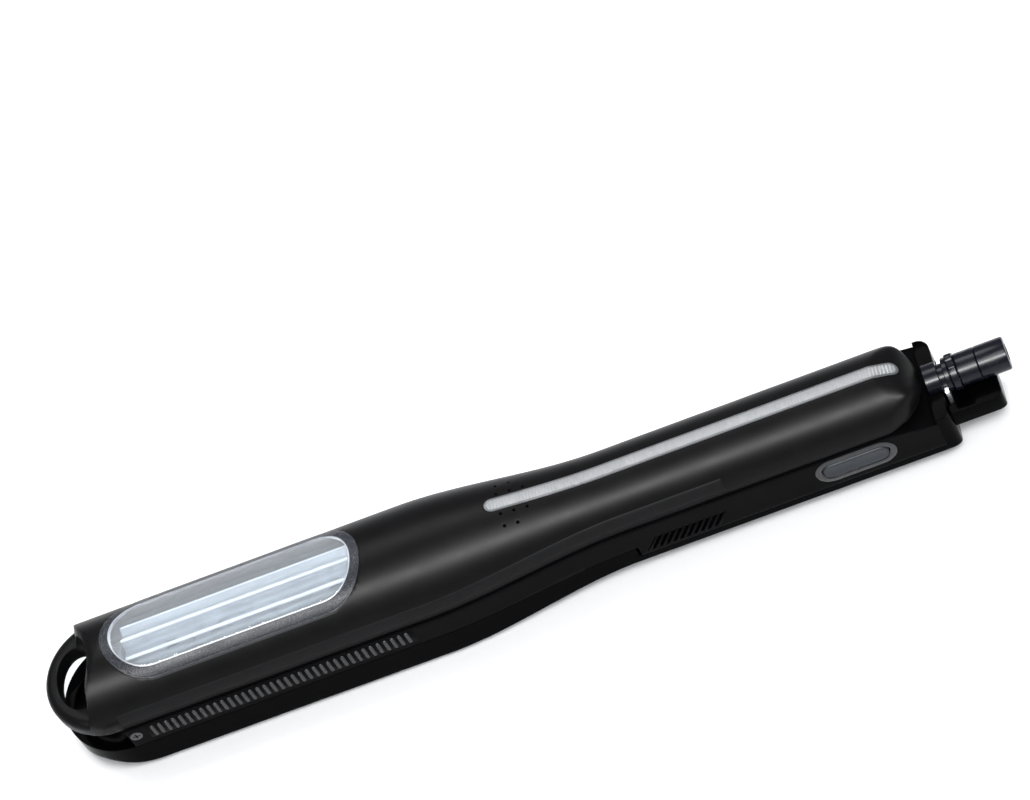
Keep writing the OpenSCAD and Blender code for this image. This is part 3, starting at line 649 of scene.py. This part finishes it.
@dataclass
class UpperShell:
    """Satin outer moulding of the upper arm with its finger loop."""

    wall: float = 2.0
    slant_deg: float = 19.4
    front: float = 14.0
    loop_t: float = 6.4
    cavity_at: float = 23.3
    window: tuple[float, float, float] = (26.5, 93.0, 31.6)
    strip: tuple[float, float, float] = (164.0, 141.0, 3.6)
    trim: float = 0.7
    dot_pitch: float = 4.5
    form: UpperForm = UpperForm()

    def build(self) -> None:
        """Builds and dresses the shell."""
        shell = self.head()
        boolean(shell, self.form.solid("cavity", self.cavity_at, -self.wall, 20.0))
        boolean(shell, self.loop(), "UNION")
        boolean(shell, finger_hole(PLAN.part_z - 1, 60))
        start, length, width = self.window
        boolean(shell, slot_prism("cut", start, length, width, PLAN.part_z + 10.7, 60))
        self.cut_strip(shell)
        soften(shell, 0.35, 2)
        shade(shell, 40)
        shell.name = "upper_arm_shell"
        fit(shell, Body.UPPER, SOFT_BLACK, "upper_shell", slot="shell_soft")

    def head(self) -> bpy.types.Object:
        """Lofts the arm and cuts its rounded, slanted front."""
        arm = self.form.solid("upper_arm_shell", 8.0)
        plan = prism("plan", nose_outline(PLAN.head_r, 330), 0, 80, PLAN.at)
        boolean(arm, plan, "INTERSECT")
        lean = math.tan(math.radians(self.slant_deg))
        base = PLAN.up_z + self.loop_t
        side = [(self.front - lean * base, 0.0), (self.front + lean * (80 - base), 80.0),
                (400.0, 80.0), (400.0, 0.0)]
        wedge = prism("wedge", side, -60, 60, PLAN.side)
        boolean(arm, wedge, "INTERSECT")
        brow = [(16.6, PLAN.part_z + 14.6), (17.2, PLAN.part_z + 16.0),
                (18.4, PLAN.part_z + 17.8), (20.2, PLAN.part_z + 19.5),
                (22.6, PLAN.part_z + 20.8), (25.6, PLAN.part_z + 21.5),
                (25.6, 80.0), (0.0, 80.0), (0.0, PLAN.part_z + 14.6)]
        boolean(arm, prism("brow", brow, -60, 60, PLAN.side))
        return arm

    def loop(self) -> bpy.types.Object:
        """Makes the thin nose loop with its rounded upper edge."""
        edge = 3.2
        levels = [(0.0, 0.35), (0.35, 0.0), (self.loop_t - edge, 0.0)]
        for a in span(0, 90, 12)[1:]:
            turn = math.radians(a)
            levels.append((self.loop_t - edge + edge * math.sin(turn), edge * (1 - math.cos(turn))))
        rings = [[PLAN.at(x, y, PLAN.up_z + z) for x, y in
                  nose_outline(PLAN.head_r - inset, self.cavity_at)] for z, inset in levels]
        return loft("loop", rings)

    def cut_strip(self, shell: bpy.types.Object) -> None:
        """Cuts the light strip's slot, its trim's step and the pin holes."""
        start, length, width = self.strip
        boolean(shell, slot_prism("cut", start - self.trim, length + 2 * self.trim,
                                  width + 2 * self.trim, PLAN.part_z + 3, 60))
        for side in (-1, 1):
            for row, count in ((4, 3), (8, 2)):
                for i in range(count):
                    spot = slot_prism("cut", start + 3.45 + self.dot_pitch * i, 1.1, 1.09,
                                      PLAN.part_z + 6, 60)
                    spot.data.transform(Matrix.Translation((0, side * row * MM, 0)))
                    boolean(shell, spot)


def ring_between(name: str, start: float, length: float, width: float, rim: float, low: float,
                 high: float) -> bpy.types.Object:
    """Raises a slot-shaped frame of width rim."""
    frame_ring = slot_prism(name, start, length, width, low, high)
    boolean(frame_ring, slot_prism("cut", start + rim, length - 2 * rim, width - 2 * rim,
                                   low - 1, high + 1))
    return frame_ring


@dataclass
class Window:
    """Smoked frame, its two thin edge rings with painted highlights, and the clear window."""

    start: float = 26.5
    length: float = 93.0
    width: float = 31.6
    rim: float = 3.6
    thick: float = 1.7
    form: UpperForm = UpperForm()

    def layer(self, name: str, outer: float, inner: float) -> bpy.types.Object:
        """Makes a curved sheet between two skins over the window's length."""
        stop = self.start + self.length + 2
        sheet = self.form.solid(name, self.start - 2, outer, 30.0, stop, 1.0)
        boolean(sheet, self.form.solid("core", self.start - 4, inner, 20.0, stop + 3, 1.0))
        return sheet

    def ring(self, name: str, outer: float, inner: float, skins: tuple[float, float],
             finish: Finish, *nodes: str) -> None:
        """Makes one of the frame's rings.

        Args:
            name: Name of the piece.
            outer: Inset of its outer edge from the frame's edge.
            inner: Inset of its inner edge.
            skins: How far its top and its underside lie from the arm's skin.
            finish: Its finish.
            nodes: Frame nodes that it replaces.
        """
        piece = ring_between(name, self.start + outer, self.length - 2 * outer,
                             self.width - 2 * outer, inner - outer, PLAN.part_z + 10.7, 60)
        boolean(piece, self.layer("skin", *skins), "INTERSECT")
        soften(piece, min(0.5, (inner - outer) * 0.3), 2)
        shade(piece, 40)
        fit(piece, Body.UPPER, finish, *nodes, slot="bezel_smoke")

    def build(self) -> None:
        """Builds and dresses the window's pieces."""
        self.ring("window_frame", 0.3, self.rim - 0.45, (0.35, -1.9), SMOKE, "window_bezel")
        # The next two thin rings carry painted highlights along the frame's outer edge and the
        # pane's edge.
        self.ring("frame_highlight_ring", 0.05, 0.3, (0.2, -1.0), FRAME_HIGHLIGHT)
        self.ring("pane_highlight_ring", self.rim - 0.45, self.rim - 0.02, (0.3, -1.7), PANE_HIGHLIGHT)
        lens = slot_prism("window_pane", self.start + self.rim + 0.03,
                          self.length - 2 * self.rim - 0.06, self.width - 2 * self.rim - 0.06,
                          PLAN.part_z + 10.7, 60)
        boolean(lens, self.layer("skin", 0.1, -self.thick), "INTERSECT")
        soften(lens, 0.25, 2)
        shade(lens, 40)
        fit(lens, Body.UPPER, LENS, "window_lens", slot="clear_lens")


@dataclass
class LightStrip:
    """Clear strip with fine cross ribs in a thin grey rim."""

    start: float = 164.0
    length: float = 141.0
    width: float = 3.6
    rim: float = 0.7
    rib_pitch: float = 1.1
    form: UpperForm = UpperForm()

    def build(self) -> None:
        """Builds and dresses the strip and its rim."""
        stop = self.start + self.length + 2
        low = PLAN.part_z + 8
        rim = ring_between("strip_rim", self.start - self.rim + 0.03, self.length + 2 * self.rim
                           - 0.06, self.width + 2 * self.rim - 0.06, self.rim, low, 60)
        skin = self.form.solid("skin", self.start - 3, 0.2, 26.0, stop, 1.0)
        boolean(skin, self.form.solid("core", self.start - 5, -1.6, 20.0, stop + 2, 1.0))
        boolean(rim, skin, "INTERSECT")
        soften(rim, 0.18, 2)
        shade(rim, 40)
        fit(rim, Body.UPPER, TRIM_GREY, "strip_trim", slot="band_grey")
        strip = slot_prism("ribbed_strip", self.start + 0.03, self.length - 0.06,
                           self.width - 0.06, low, 60)
        boolean(strip, self.ribbed(stop), "INTERSECT")
        shade(strip, 55)
        fit(strip, Body.UPPER, RIBBED, "light_strip", slot="clear_ribbed")

    def ribbed(self, stop: float) -> bpy.types.Object:
        """Lofts the strip's skin with a fine wave along it."""
        rings = []
        d = self.start - 1.5
        while d < stop:
            place = (d - self.start) / self.rib_pitch
            lift = 0.28 + 0.13 * math.cos(2 * math.pi * place)
            outer = self.form.ring(d, lift, 26.0)
            rings.append(outer)
            d += self.rib_pitch / 4
        body = loft("skin", rings)
        boolean(body, self.form.solid("core", self.start - 5, -2.2, 20.0, stop + 2, 1.0))
        return body


@dataclass
class SideBands:
    """Flat, slightly lighter bands along the sides of the upper arm."""

    start: float = 23.5
    end: float = 239.4
    low: float = PLAN.part_z + 2.6
    high: float = PLAN.part_z + 7.4

    def build(self) -> None:
        """Builds and dresses both bands."""
        sides = [self.band(side) for side in (-1, 1)]
        bands = join("side_bands_pair", sides)
        shade(bands, 40)
        fit(bands, Body.UPPER, BAND_BLACK, "side_bands", slot="band_grey")

    def band(self, side: int) -> bpy.types.Object:
        """Lofts one band with softened long edges."""
        rings = []
        for d in span(self.start, self.end, 110):
            ring = []
            for z, lift in ((self.low, -0.6), (self.low, 0.05), (self.low + 0.35, 0.2),
                            *[(z, 0.2) for z in span(self.low + 1.2, self.high - 1.2, 4)],
                            (self.high - 0.35, 0.2), (self.high, 0.05), (self.high, -0.6)):
                radius = PLAN.arm_r(d) + lift
                rise = z - PLAN.part_z
                ring.append(PLAN.at(d, side * math.sqrt(radius * radius - rise * rise), z))
            rings.append(ring)
        return loft("band", rings)


# ---------------------------------------------------------------- lower arm
@dataclass(frozen=True)
class LowerForm:
    """Skin of the lower arm: its plan, cut to a rounded keel."""

    half: float = 22.2
    grip_half: float = 16.2
    bulk_end: float = 316.2
    corner: float = 4.0
    steps: int = 14

    def half_width(self, d: float) -> float:
        """Half width of the arm at distance d."""
        middle = self.half + 0.6
        if d < middle:
            return math.sqrt(max(0.09, self.half ** 2 - (middle - d) ** 2))
        past = d - (self.bulk_end - self.corner)
        if past > 0:
            return self.grip_half - self.corner + math.sqrt(max(0.0, self.corner ** 2 - past ** 2))
        return PLAN.arm_r(d) + PLAN.flare

    def places(self) -> list[float]:
        """Distances of the rings, close together where the plan turns fast."""
        nose = [0.605 + 22.2 * (1 - math.cos(math.radians(a))) for a in span(0, 90, 34)]
        rear = [self.bulk_end - self.corner + self.corner * math.sin(math.radians(a))
                for a in span(0, 89.9, 9)]
        return [*nose, *span(24.3, self.bulk_end - self.corner - 1.5, 180), *rear]

    def ring(self, d: float, grow: float, low: float, top: float) -> list[Point]:
        """Lists one section from the top edge round the keel to the other top edge."""
        wide = max(0.2, self.half_width(d) + grow)
        keel = PLAN.keel_r(d) + grow
        floor = low - PLAN.part_z
        side = -math.sqrt(max(0.0, keel * keel - wide * wide))
        bottom = max(-keel, floor)
        reach = math.sqrt(max(0.0, keel * keel - bottom * bottom))
        if side < bottom:
            side, reach = bottom + 0.02, wide - 0.02
        points = [(wide, z) for z in span(top - PLAN.part_z, side, self.steps)]
        first, last = math.atan2(side, wide), math.atan2(bottom, max(reach, 0.02))
        for a in span(first, last, self.steps)[1:]:
            r = wide / math.cos(first) if reach > wide - 0.03 else keel
            points.append((min(wide, r * math.cos(a)), max(bottom, r * math.sin(a))))
        left = [(-y, z) for y, z in reversed(points)]
        return [PLAN.at(d, y, PLAN.part_z + z) for y, z in points + left]

    def solid(self, name: str, grow: float = 0.0, low: float = 0.0, top: float = PLAN.part_z,
              start: float = 0.0, end: float = 400.0) -> bpy.types.Object:
        """Lofts the arm between two distances.

        Args:
            name: Name of the new object.
            grow: How far the skin is moved out.
            low: Height of the underside.
            top: Height of the top face.
            start: Distance where the loft starts.
            end: Distance where it ends.

        Returns:
            The closed solid.
        """
        inside = [d for d in self.places() if start < d < end]
        places = ([start] if start > 0 else []) + inside + ([end] if end < 400 else [])
        return loft(name, [self.ring(d, grow, low, top) for d in places])


@dataclass
class LowerShell:
    """Glossy outer moulding of the lower arm, with its loop and tail."""

    wall: float = 2.0
    seam_head: float = PLAN.part_z - 10.0
    seam_grip: float = PLAN.part_z - 15.0
    step_at: float = 204.5
    cover_end: float = 311.2
    tail_half: float = 11.0
    tail_end: float = 334.0
    tail_top: float = PLAN.part_z - 7.0
    collar_z: float = PLAN.part_z - 0.8
    form: LowerForm = LowerForm()

    def build(self) -> None:
        """Builds and dresses the shell."""
        shell = self.form.solid("lower_arm_shell")
        for zone in (box_solid("cut", (-2, self.step_at), (-40, 40), (self.seam_head, 60)),
                     box_solid("cut", (self.step_at - 1, self.cover_end), (-40, 40),
                               (self.seam_grip, 60))):
            boolean(shell, zone)
        boolean(shell, self.form.solid("core", -self.wall, self.wall, PLAN.part_z, 25.5, 308.8))
        boolean(shell, self.tail(), "UNION")
        boolean(shell, finger_hole(-1, 60))
        self.collar_bed(shell)
        soften(shell, 0.5, 3)
        shade(shell, 40)
        fit(shell, Body.LOWER, GLOSS_BLACK, "lower_shell", slot="shell_gloss")

    def tail(self) -> bpy.types.Object:
        """Makes the narrow tail under the collar, rounded below."""
        corner, keel = 3.0, 18.0
        rings = []
        start = self.form.bulk_end - 4
        ends = [self.tail_end - corner + corner * math.sin(math.radians(a))
                for a in span(0, 88, 8)]
        for d in [*span(start, self.tail_end - corner - 0.2, 8), *ends]:
            past = max(0.0, d - (self.tail_end - corner))
            wide = self.tail_half - corner + math.sqrt(max(0.01, corner ** 2 - past ** 2))
            low = max(4.0, PLAN.part_z - keel)
            arc = [(y, max(low, PLAN.part_z - math.sqrt(keel ** 2 - y * y)))
                   for y in span(wide, -wide, 30)]
            rings.append([PLAN.at(d, y, z) for y, z in
                          [(wide, self.tail_top), *arc, (-wide, self.tail_top)]])
        return loft("tail", rings)

    def collar_bed(self, shell: bpy.types.Object) -> None:
        """Cuts the bed of the collar, its open top and the hook's sweep."""
        r = 6.1
        circle = [(r * math.cos(math.radians(a)), r * math.sin(math.radians(a)))
                  for a in range(0, 360, 6)]
        boolean(shell, prism("cut", circle, 310.8, 336, lambda u, v, w: PLAN.at(
            w, u, self.collar_z + v)))
        boolean(shell, box_solid("cut", (316.21, 336), (-r, r), (self.collar_z, 60)))
        boolean(shell, box_solid("cut", (319.9, 323.5), (-9, 9), (self.collar_z - 8, 60)))


@dataclass
class InnerCover:
    """Matt cover that closes the lower arm and carries hinge and plate."""

    wall: float = 2.0
    step_at: float = 204.5
    cover_end: float = 311.2
    plate: tuple[float, float, float, float] = (31.2, 117.6, 13.8, 2.0)
    ear_r: float = 5.2
    ear_y: float = 7.4
    pin_end: float = 11.5
    rear_drop: float = 2.44
    vent: tuple[float, float, float, float] = (207.0, 29.0, 6.0, 4.0)
    form: LowerForm = LowerForm()

    def build(self) -> None:
        """Builds and dresses the cover."""
        cover = self.form.solid("inner_cover", start=23.0, end=self.cover_end)
        for zone in (box_solid("cut", (0, self.step_at), (-40, 40), (-5, PLAN.part_z - 10)),
                     box_solid("cut", (self.step_at - 1, 340), (-40, 40), (-5, PLAN.part_z - 15))):
            boolean(cover, zone)
        boolean(cover, self.rear_slope())
        split = PLAN.hinge_at - self.ear_r
        for top, start, end in ((PLAN.part_z - self.wall, 25.5, split),
                                (PLAN.part_z - self.wall - self.rear_drop, split - 0.1, 308.8)):
            boolean(cover, self.form.solid("core", -self.wall, -1.0, top, start, end))
        boolean(cover, self.boss(), "UNION")
        boolean(cover, self.plate_opening())
        for cutter in self.cutters():
            boolean(cover, cutter)
        soften(cover, 0.4, 2)
        shade(cover, 40)
        fit(cover, Body.LOWER, COVER_BLACK, "lower_inner_cover", slot="cover_black")

    def rear_slope(self) -> bpy.types.Object:
        """Makes the cutter of the slope that lets the upper arm's tail swing down."""
        fall = math.tan(math.radians(PLAN.relief_deg))
        end = 330.0
        side = [(PLAN.hinge_at, PLAN.part_z), (PLAN.hinge_at, 60.0), (end, 60.0),
                (end, PLAN.part_z - (end - PLAN.hinge_at) * fall)]
        return prism("cut", side, -60, 60, PLAN.side)

    def boss(self) -> bpy.types.Object:
        """Makes the hinge boss between the ears."""
        r, half = self.ear_r - 0.6, self.ear_y - 0.7
        outline = [(PLAN.hinge_at + r * math.cos(math.radians(a)),
                    PLAN.part_z + r * math.sin(math.radians(a))) for a in span(0, 180, 30)]
        outline += [(PLAN.hinge_at - r, PLAN.part_z - 6), (PLAN.hinge_at + r, PLAN.part_z - 6)]
        return prism("boss", outline, -half, half, PLAN.side)

    def plate_opening(self) -> bpy.types.Object:
        """Makes the cutter of the plate's opening, with round corners."""
        start, end, half, corner = self.plate
        outline = []
        for cx, cy, first in ((end - corner, half - corner, 0), (start + corner, half - corner, 90),
                              (start + corner, corner - half, 180),
                              (end - corner, corner - half, 270)):
            outline += [(cx + corner * math.cos(math.radians(a)),
                         cy + corner * math.sin(math.radians(a))) for a in
                        span(first, first + 90, 6)]
        return prism("cut", outline, 10, 40, PLAN.at)

    def cutters(self) -> list[bpy.types.Object]:
        """Makes the cutters of the hinge slots, the vents, the button and the deck lid."""
        made = [box_solid("cut", (PLAN.hinge_at - self.ear_r + 1.4, PLAN.hinge_at + self.ear_r),
                          (-3.4, 3.4), (0, 40)),
                slot_prism("cut", 146.0, 46.0, 16.0, PLAN.part_z - 0.8, 40)]
        start, length, height, lean = self.vent
        low = PLAN.part_z - 13.6
        shape = [(start, low), (start + length - lean, low), (start + length, low + height),
                 (start + lean, low + height)]
        for side in (-1, 1):
            y = (side * (self.ear_y - 0.3), side * (self.pin_end + 0.3))
            made.append(box_solid("cut", (PLAN.hinge_at - self.ear_r - 1,
                                          PLAN.hinge_at + self.ear_r + 1), (min(y), max(y)),
                                  (0, 40)))
            y = (side * 12.5, side * 20)
            made.append(prism("cut", shape, min(y), max(y), PLAN.side))
        made.append(prism("cut", stadium(26.8, 10.8), -18.5, -11,
                          lambda u, v, w: PLAN.at(282 + u, w, PLAN.part_z - 6.4 + v)))
        return made


@dataclass
class CombStrips:
    """Rows of rounded upright ribs along both sides of the head."""

    first: float = 31.4
    count: int = 37
    pitch: float = 2.54
    rib_w: float = 1.3
    rib_l: float = 6.2
    middle_z: float = PLAN.part_z - 4.4
    side_y: float = 22.2

    def build(self) -> None:
        """Builds and dresses the ribs and their backing strips."""
        parts = []
        for side in (-1, 1):
            for i in range(self.count):
                parts.append(self.rib(side, self.first + i * self.pitch + self.rib_w / 2))
        strips = join("comb_ribs", parts)
        shade(strips, 50)
        fit(strips, Body.LOWER, RIB_GREY, "comb_strips", slot="rib_grey")
        backing = join("comb_backing", [self.backing(side) for side in (-1, 1)])
        shade(backing, 40)
        fit(backing, Body.LOWER, COVER_BLACK, slot="cover_black")

    def rib(self, side: int, d: float) -> bpy.types.Object:
        """Lofts one rib with a domed face."""
        rings = []
        for lift, inset in ((-0.15, 0.0), (0.2, 0.0), (0.36, 0.1), (0.43, 0.24), (0.45, 0.42)):
            shape = stadium(self.rib_l - 2 * inset, self.rib_w - 2 * inset, 8)
            rings.append([PLAN.at(d + v, side * (self.side_y + lift), self.middle_z + u)
                          for u, v in shape])
        return loft("rib", rings)

    def backing(self, side: int) -> bpy.types.Object:
        """Makes the thin strip that the ribs stand on."""
        start, end = self.first - 1.6, self.first + self.count * self.pitch + 0.6
        y = sorted((side * (self.side_y - 0.8), side * (self.side_y + 0.03)))
        strip = box_solid("backing", (start, end), (y[0], y[1]),
                          (self.middle_z - 3.9, self.middle_z + 3.4))
        soften(strip, 0.2, 2)
        return strip


@dataclass
class VentGrilles:
    """Slanted slat grilles behind the comb."""

    start: float = 207.0
    length: float = 29.0
    height: float = 6.0
    lean: float = 4.0
    slats: int = 10
    low: float = PLAN.part_z - 13.6
    side_y: float = 16.2

    def build(self) -> None:
        """Builds and dresses both grilles."""
        grilles = []
        for side in (-1, 1):
            y = sorted((side * (self.side_y - 1.65), side * (self.side_y - 1.2)))
            back = [(self.start, self.low), (self.start + self.length - self.lean, self.low),
                    (self.start + self.length, self.low + self.height),
                    (self.start + self.lean, self.low + self.height)]
            grilles.append(prism("back", back, y[0], y[1], PLAN.side))
            for i in range(self.slats + 1):
                grilles.append(self.slat(side, self.start + 0.15 + i * 2.42))
        pair = join("vent_slats", grilles)
        shade(pair, 40)
        fit(pair, Body.LOWER, COVER_BLACK, "vent_grilles", slot="cover_black")

    def slat(self, side: int, d: float) -> bpy.types.Object:
        """Makes one leaning slat with rounded edges."""
        wide, tall = 1.15, self.height - 0.05
        shape = [(d, self.low), (d + wide, self.low), (d + wide + self.lean, self.low + tall),
                 (d + self.lean, self.low + tall)]
        y = sorted((side * (self.side_y - 1.5), side * (self.side_y + 0.3)))
        piece = prism("slat", shape, y[0], y[1], PLAN.side)
        soften(piece, 0.25, 2)
        return piece


@dataclass
class ButtonBezel:
    """Oval ring round the power button."""

    middle: float = 282.0
    length: float = 28.0
    height: float = 12.0
    rim: float = 2.3
    face: float = 16.6

    def build(self) -> None:
        """Builds and dresses the ring."""
        bevel = 0.45
        rings = []
        count = 28
        for y, inset in ((self.face - 2.4, 0.6), (self.face - 0.45, 0.6), (self.face - 0.44, 0.0),
                         (self.face - bevel * 0.4, 0.0), (self.face, bevel),
                         (self.face, self.rim - bevel), (self.face - 0.35, self.rim),
                         (self.face - 2.4, self.rim)):
            shape = stadium(self.length - 2 * inset, self.height - 2 * inset, count)
            rings.append([PLAN.at(self.middle + u, -y, PLAN.part_z - 6.4 + v) for u, v in shape])
        bm = bmesh.new()
        rows = [[bm.verts.new(p) for p in ring] for ring in rings]
        size = len(rows[0])
        for a, b in zip(rows, [*rows[1:], rows[0]]):
            for i in range(size):
                bm.faces.new((a[i], a[(i + 1) % size], b[(i + 1) % size], b[i]))
        ring_piece = mesh_object("button_ring", bm)
        shade(ring_piece, 35)
        fit(ring_piece, Body.LOWER, BUTTON_RIM, "button_bezel", slot="bezel_smoke")


# ---------------------------------------------------------------- moving pieces
def turned(name: str, profile: Sequence[tuple[float, float]], axis_z: float,
           steps: int = 64) -> bpy.types.Object:
    """Turns a closed (distance, radius) profile about an axis along the arms.

    Args:
        name: Name of the new object.
        profile: Corners of the section, in order round it.
        axis_z: Height of the axis.
        steps: Facets round the axis.

    Returns:
        The ring-shaped solid.
    """
    bm = bmesh.new()
    rows = []
    for d, r in profile:
        rows.append([bm.verts.new(PLAN.at(d, r * math.cos(2 * math.pi * i / steps),
                                          axis_z + r * math.sin(2 * math.pi * i / steps)))
                     for i in range(steps)])
    for a, b in zip(rows, [*rows[1:], rows[0]]):
        for i in range(steps):
            bm.faces.new((a[i], a[(i + 1) % steps], b[(i + 1) % steps], b[i]))
    return mesh_object(name, bm)


@dataclass
class CrimpDrum:
    """Pale drum with rounded crimping fins along it."""

    start: float = 33.0
    length: float = 82.0
    radius: float = 10.8
    core: float = 7.4
    shaft: float = 2.02
    fins: int = 10
    tip: float = 0.7
    axis_z: float = PLAN.part_z + 8.0

    def build(self) -> None:
        """Builds and dresses the drum."""
        rings = []
        end = self.start + self.length
        for d, inset in ((self.start, 0.5), (self.start + 0.15, 0.18), (self.start + 0.5, 0.0),
                         *[(d, 0.0) for d in span(self.start + 6, end - 6, 12)],
                         (end - 0.5, 0.0), (end - 0.15, 0.18), (end, 0.5)):
            rings.append([PLAN.at(d, y * (1 - inset / self.radius),
                                  self.axis_z + z * (1 - inset / self.radius))
                          for y, z in self.outline()])
        drum = loft("crimping_drum", rings)
        boolean(drum, prism("cut", [(self.shaft * math.cos(math.radians(a)),
                                     self.shaft * math.sin(math.radians(a)))
                                    for a in range(0, 360, 8)], 20, 130,
                            lambda u, v, w: PLAN.at(w, u, self.axis_z + v)))
        shade(drum, 50)
        fit(drum, Body.DRUM, PALE_DRUM, "crimp_drum", slot="drum_pale")
        self.paint_fin_highlights(drum)

    def paint_fin_highlights(self, drum: bpy.types.Object) -> None:
        """Paints the fins' round tips lighter than the drum: a painted highlight along each fin
        tip.

        Args:
            drum: The finished drum.
        """
        drum.data.materials.append(material_of(FIN_TIP_HIGHLIGHT))
        highlight_index = len(drum.data.materials) - 1
        for face in drum.data.polygons:
            far = [math.hypot(drum.data.vertices[i].co.y,
                              drum.data.vertices[i].co.z - self.axis_z * MM) for i in face.vertices]
            if min(far) > (self.radius - 0.5) * MM:
                face.material_index = highlight_index

    def outline(self) -> list[tuple[float, float]]:
        """Lists the drum's section with its fins and rounded valleys."""
        points = []
        tip_r = self.radius - self.tip
        for i in range(self.fins):
            turn = 2 * math.pi * i / self.fins
            fin = [(self.core + 0.05, -1.75), (self.core + 0.5, -1.4),
                   (self.core + 1.4, -1.15), (tip_r - 0.3, -self.tip - 0.05)]
            cap = [(tip_r + self.tip * math.cos(math.radians(a)),
                    self.tip * math.sin(math.radians(a))) for a in span(-80, 80, 9)]
            fin += [*cap, *[(x, -y) for x, y in reversed(fin)]]
            points += [self.spun(turn, x, y) for x, y in fin]
            step = 2 * math.pi / self.fins
            gap = math.atan2(1.75, self.core)
            for a in span(turn + gap + 0.04, turn + step - gap - 0.04, 4):
                points.append(self.spun(a, self.core, 0.0))
        return points

    @staticmethod
    def spun(turn: float, x: float, y: float) -> tuple[float, float]:
        """Places a point of a fin that lies along +X and turns it to Y and Z."""
        u = x * math.cos(turn) - y * math.sin(turn)
        v = x * math.sin(turn) + y * math.cos(turn)
        return v, -u


@dataclass
class PowerButton:
    """Soft oval pad inside the ring."""

    middle: float = 282.0
    length: float = 22.8
    height: float = 6.8
    face: float = 16.8
    stem_r: float = 1.5

    def build(self) -> None:
        """Builds and dresses the pad."""
        rings = []
        for y, inset in ((self.face - 1.8, 0.0), (self.face - 0.55, 0.0), (self.face - 0.25, 0.12),
                         (self.face - 0.08, 0.4), (self.face - 0.02, 0.8),
                         (self.face - 0.16, 1.6), (self.face - 0.26, 2.5), (self.face - 0.3, 3.1)):
            shape = stadium(self.length - 2 * inset, self.height - 2 * inset, 24)
            rings.append([PLAN.at(self.middle + u, -y, PLAN.part_z - 6.4 + v) for u, v in shape])
        pad = loft("button_pad", rings)
        round_stem = [(self.stem_r * math.cos(math.radians(a)),
                       self.stem_r * math.sin(math.radians(a))) for a in range(0, 360, 15)]
        stem = prism("stem", round_stem, -self.face + 1.7, -self.face + 3.4,
                     lambda u, v, w: PLAN.at(self.middle + u, w, PLAN.part_z - 6.4 + v))
        pad = join("button_pad", [pad, stem])
        shade(pad, 40)
        fit(pad, Body.BUTTON, BUTTON_BLUE, "power_button", slot="button_rubber")


@dataclass
class CordCollar:
    """Turning collar with its sleeve, and the ring with the hook."""

    start: float = 311.7
    end: float = 340.0
    sleeve_l: float = 10.0
    radius: float = 5.7
    bore: float = 2.6
    groove_r: float = 4.3
    fork: tuple[float, float] = (316.7, 318.5)
    lock: tuple[float, float] = (320.2, 323.2)
    lock_at: float = 320.4
    lock_w: float = 2.6
    axis_z: float = PLAN.part_z - 0.8

    def build(self) -> None:
        """Builds and dresses collar, sleeve and ring."""
        r, soft = self.radius, 0.35
        seam = self.end - self.sleeve_l
        outline = [(self.start, self.bore), (self.start, r - soft), (self.start + soft, r),
                   (self.fork[0] - 0.2, r), (self.fork[0], r - 0.2), (self.fork[0], self.groove_r),
                   (self.fork[1], self.groove_r), (self.fork[1], r - 0.2), (self.fork[1] + 0.2, r),
                   (self.lock[0] - 0.2, r), (self.lock[0], r - 0.2), (self.lock[0], self.groove_r),
                   (self.lock[1], self.groove_r), (self.lock[1], r - 0.2), (self.lock[1] + 0.2, r),
                   (seam - 0.3, r), (seam - 0.02, r - 0.3), (seam - 0.02, self.bore)]
        collar = turned("cord_collar", outline, self.axis_z)
        shade(collar, 35)
        fit(collar, Body.COLLAR, BLUE_BLACK, "swivel_collar", slot="collar_gloss")
        outline = [(seam + 0.02, self.bore), (seam + 0.02, r - 0.3), (seam + 0.3, r),
                   (self.end - 0.7, r), (self.end - 0.2, r - 0.2), (self.end, r - 0.7),
                   (self.end, self.bore + 0.5), (self.end - 0.5, self.bore)]
        sleeve = turned("collar_sleeve", outline, self.axis_z)
        shade(sleeve, 35)
        fit(sleeve, Body.COLLAR, BLUE_BLACK, "swivel_sleeve", slot="collar_gloss")
        self.hook_ring()

    def hook_ring(self) -> None:
        """Makes the ring that turns in the collar's groove, with its upright hook."""
        outer = self.radius + 0.6
        lobe = outer + 1.4
        wide = 1.9
        outline = []
        join_a = math.degrees(math.asin(wide / outer))
        for a in span(90 + join_a, 450 - join_a, 56):
            outline.append((outer * math.cos(math.radians(a)), outer * math.sin(math.radians(a))))
        for a in span(0, 180, 18):
            outline.append((wide * math.cos(math.radians(a)),
                            lobe + wide * math.sin(math.radians(a))))
        start, end = self.lock_at, self.lock_at + self.lock_w
        ring = prism("hook_ring", outline, start, end,
                     lambda u, v, w: PLAN.at(w, u, self.axis_z + v))
        bore = self.groove_r + 0.05
        boolean(ring, prism("cut", [(bore * math.cos(math.radians(a)),
                                     bore * math.sin(math.radians(a)))
                                    for a in range(0, 360, 6)], start - 1, end + 1,
                            lambda u, v, w: PLAN.at(w, u, self.axis_z + v)))
        soften(ring, 0.45, 3, 50)
        shade(ring, 40)
        fit(ring, Body.LOCK, BLUE_BLACK, "lock_ring", slot="collar_gloss")


PIECES: tuple[type, ...] = (
    UpperShell, Window, LightStrip, SideBands, LowerShell, InnerCover, CombStrips, VentGrilles,
    ButtonBezel, CrimpDrum, PowerButton, CordCollar,
)


def main() -> None:
    """Builds the whole scene in order."""
    logging.basicConfig(level=logging.INFO, format="%(name)s: %(message)s")
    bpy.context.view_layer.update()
    Studio().build()
    log.info("stage is ready")
    dress_frame()
    for piece in PIECES:
        piece().build()


if __name__ == "__main__":
    main()
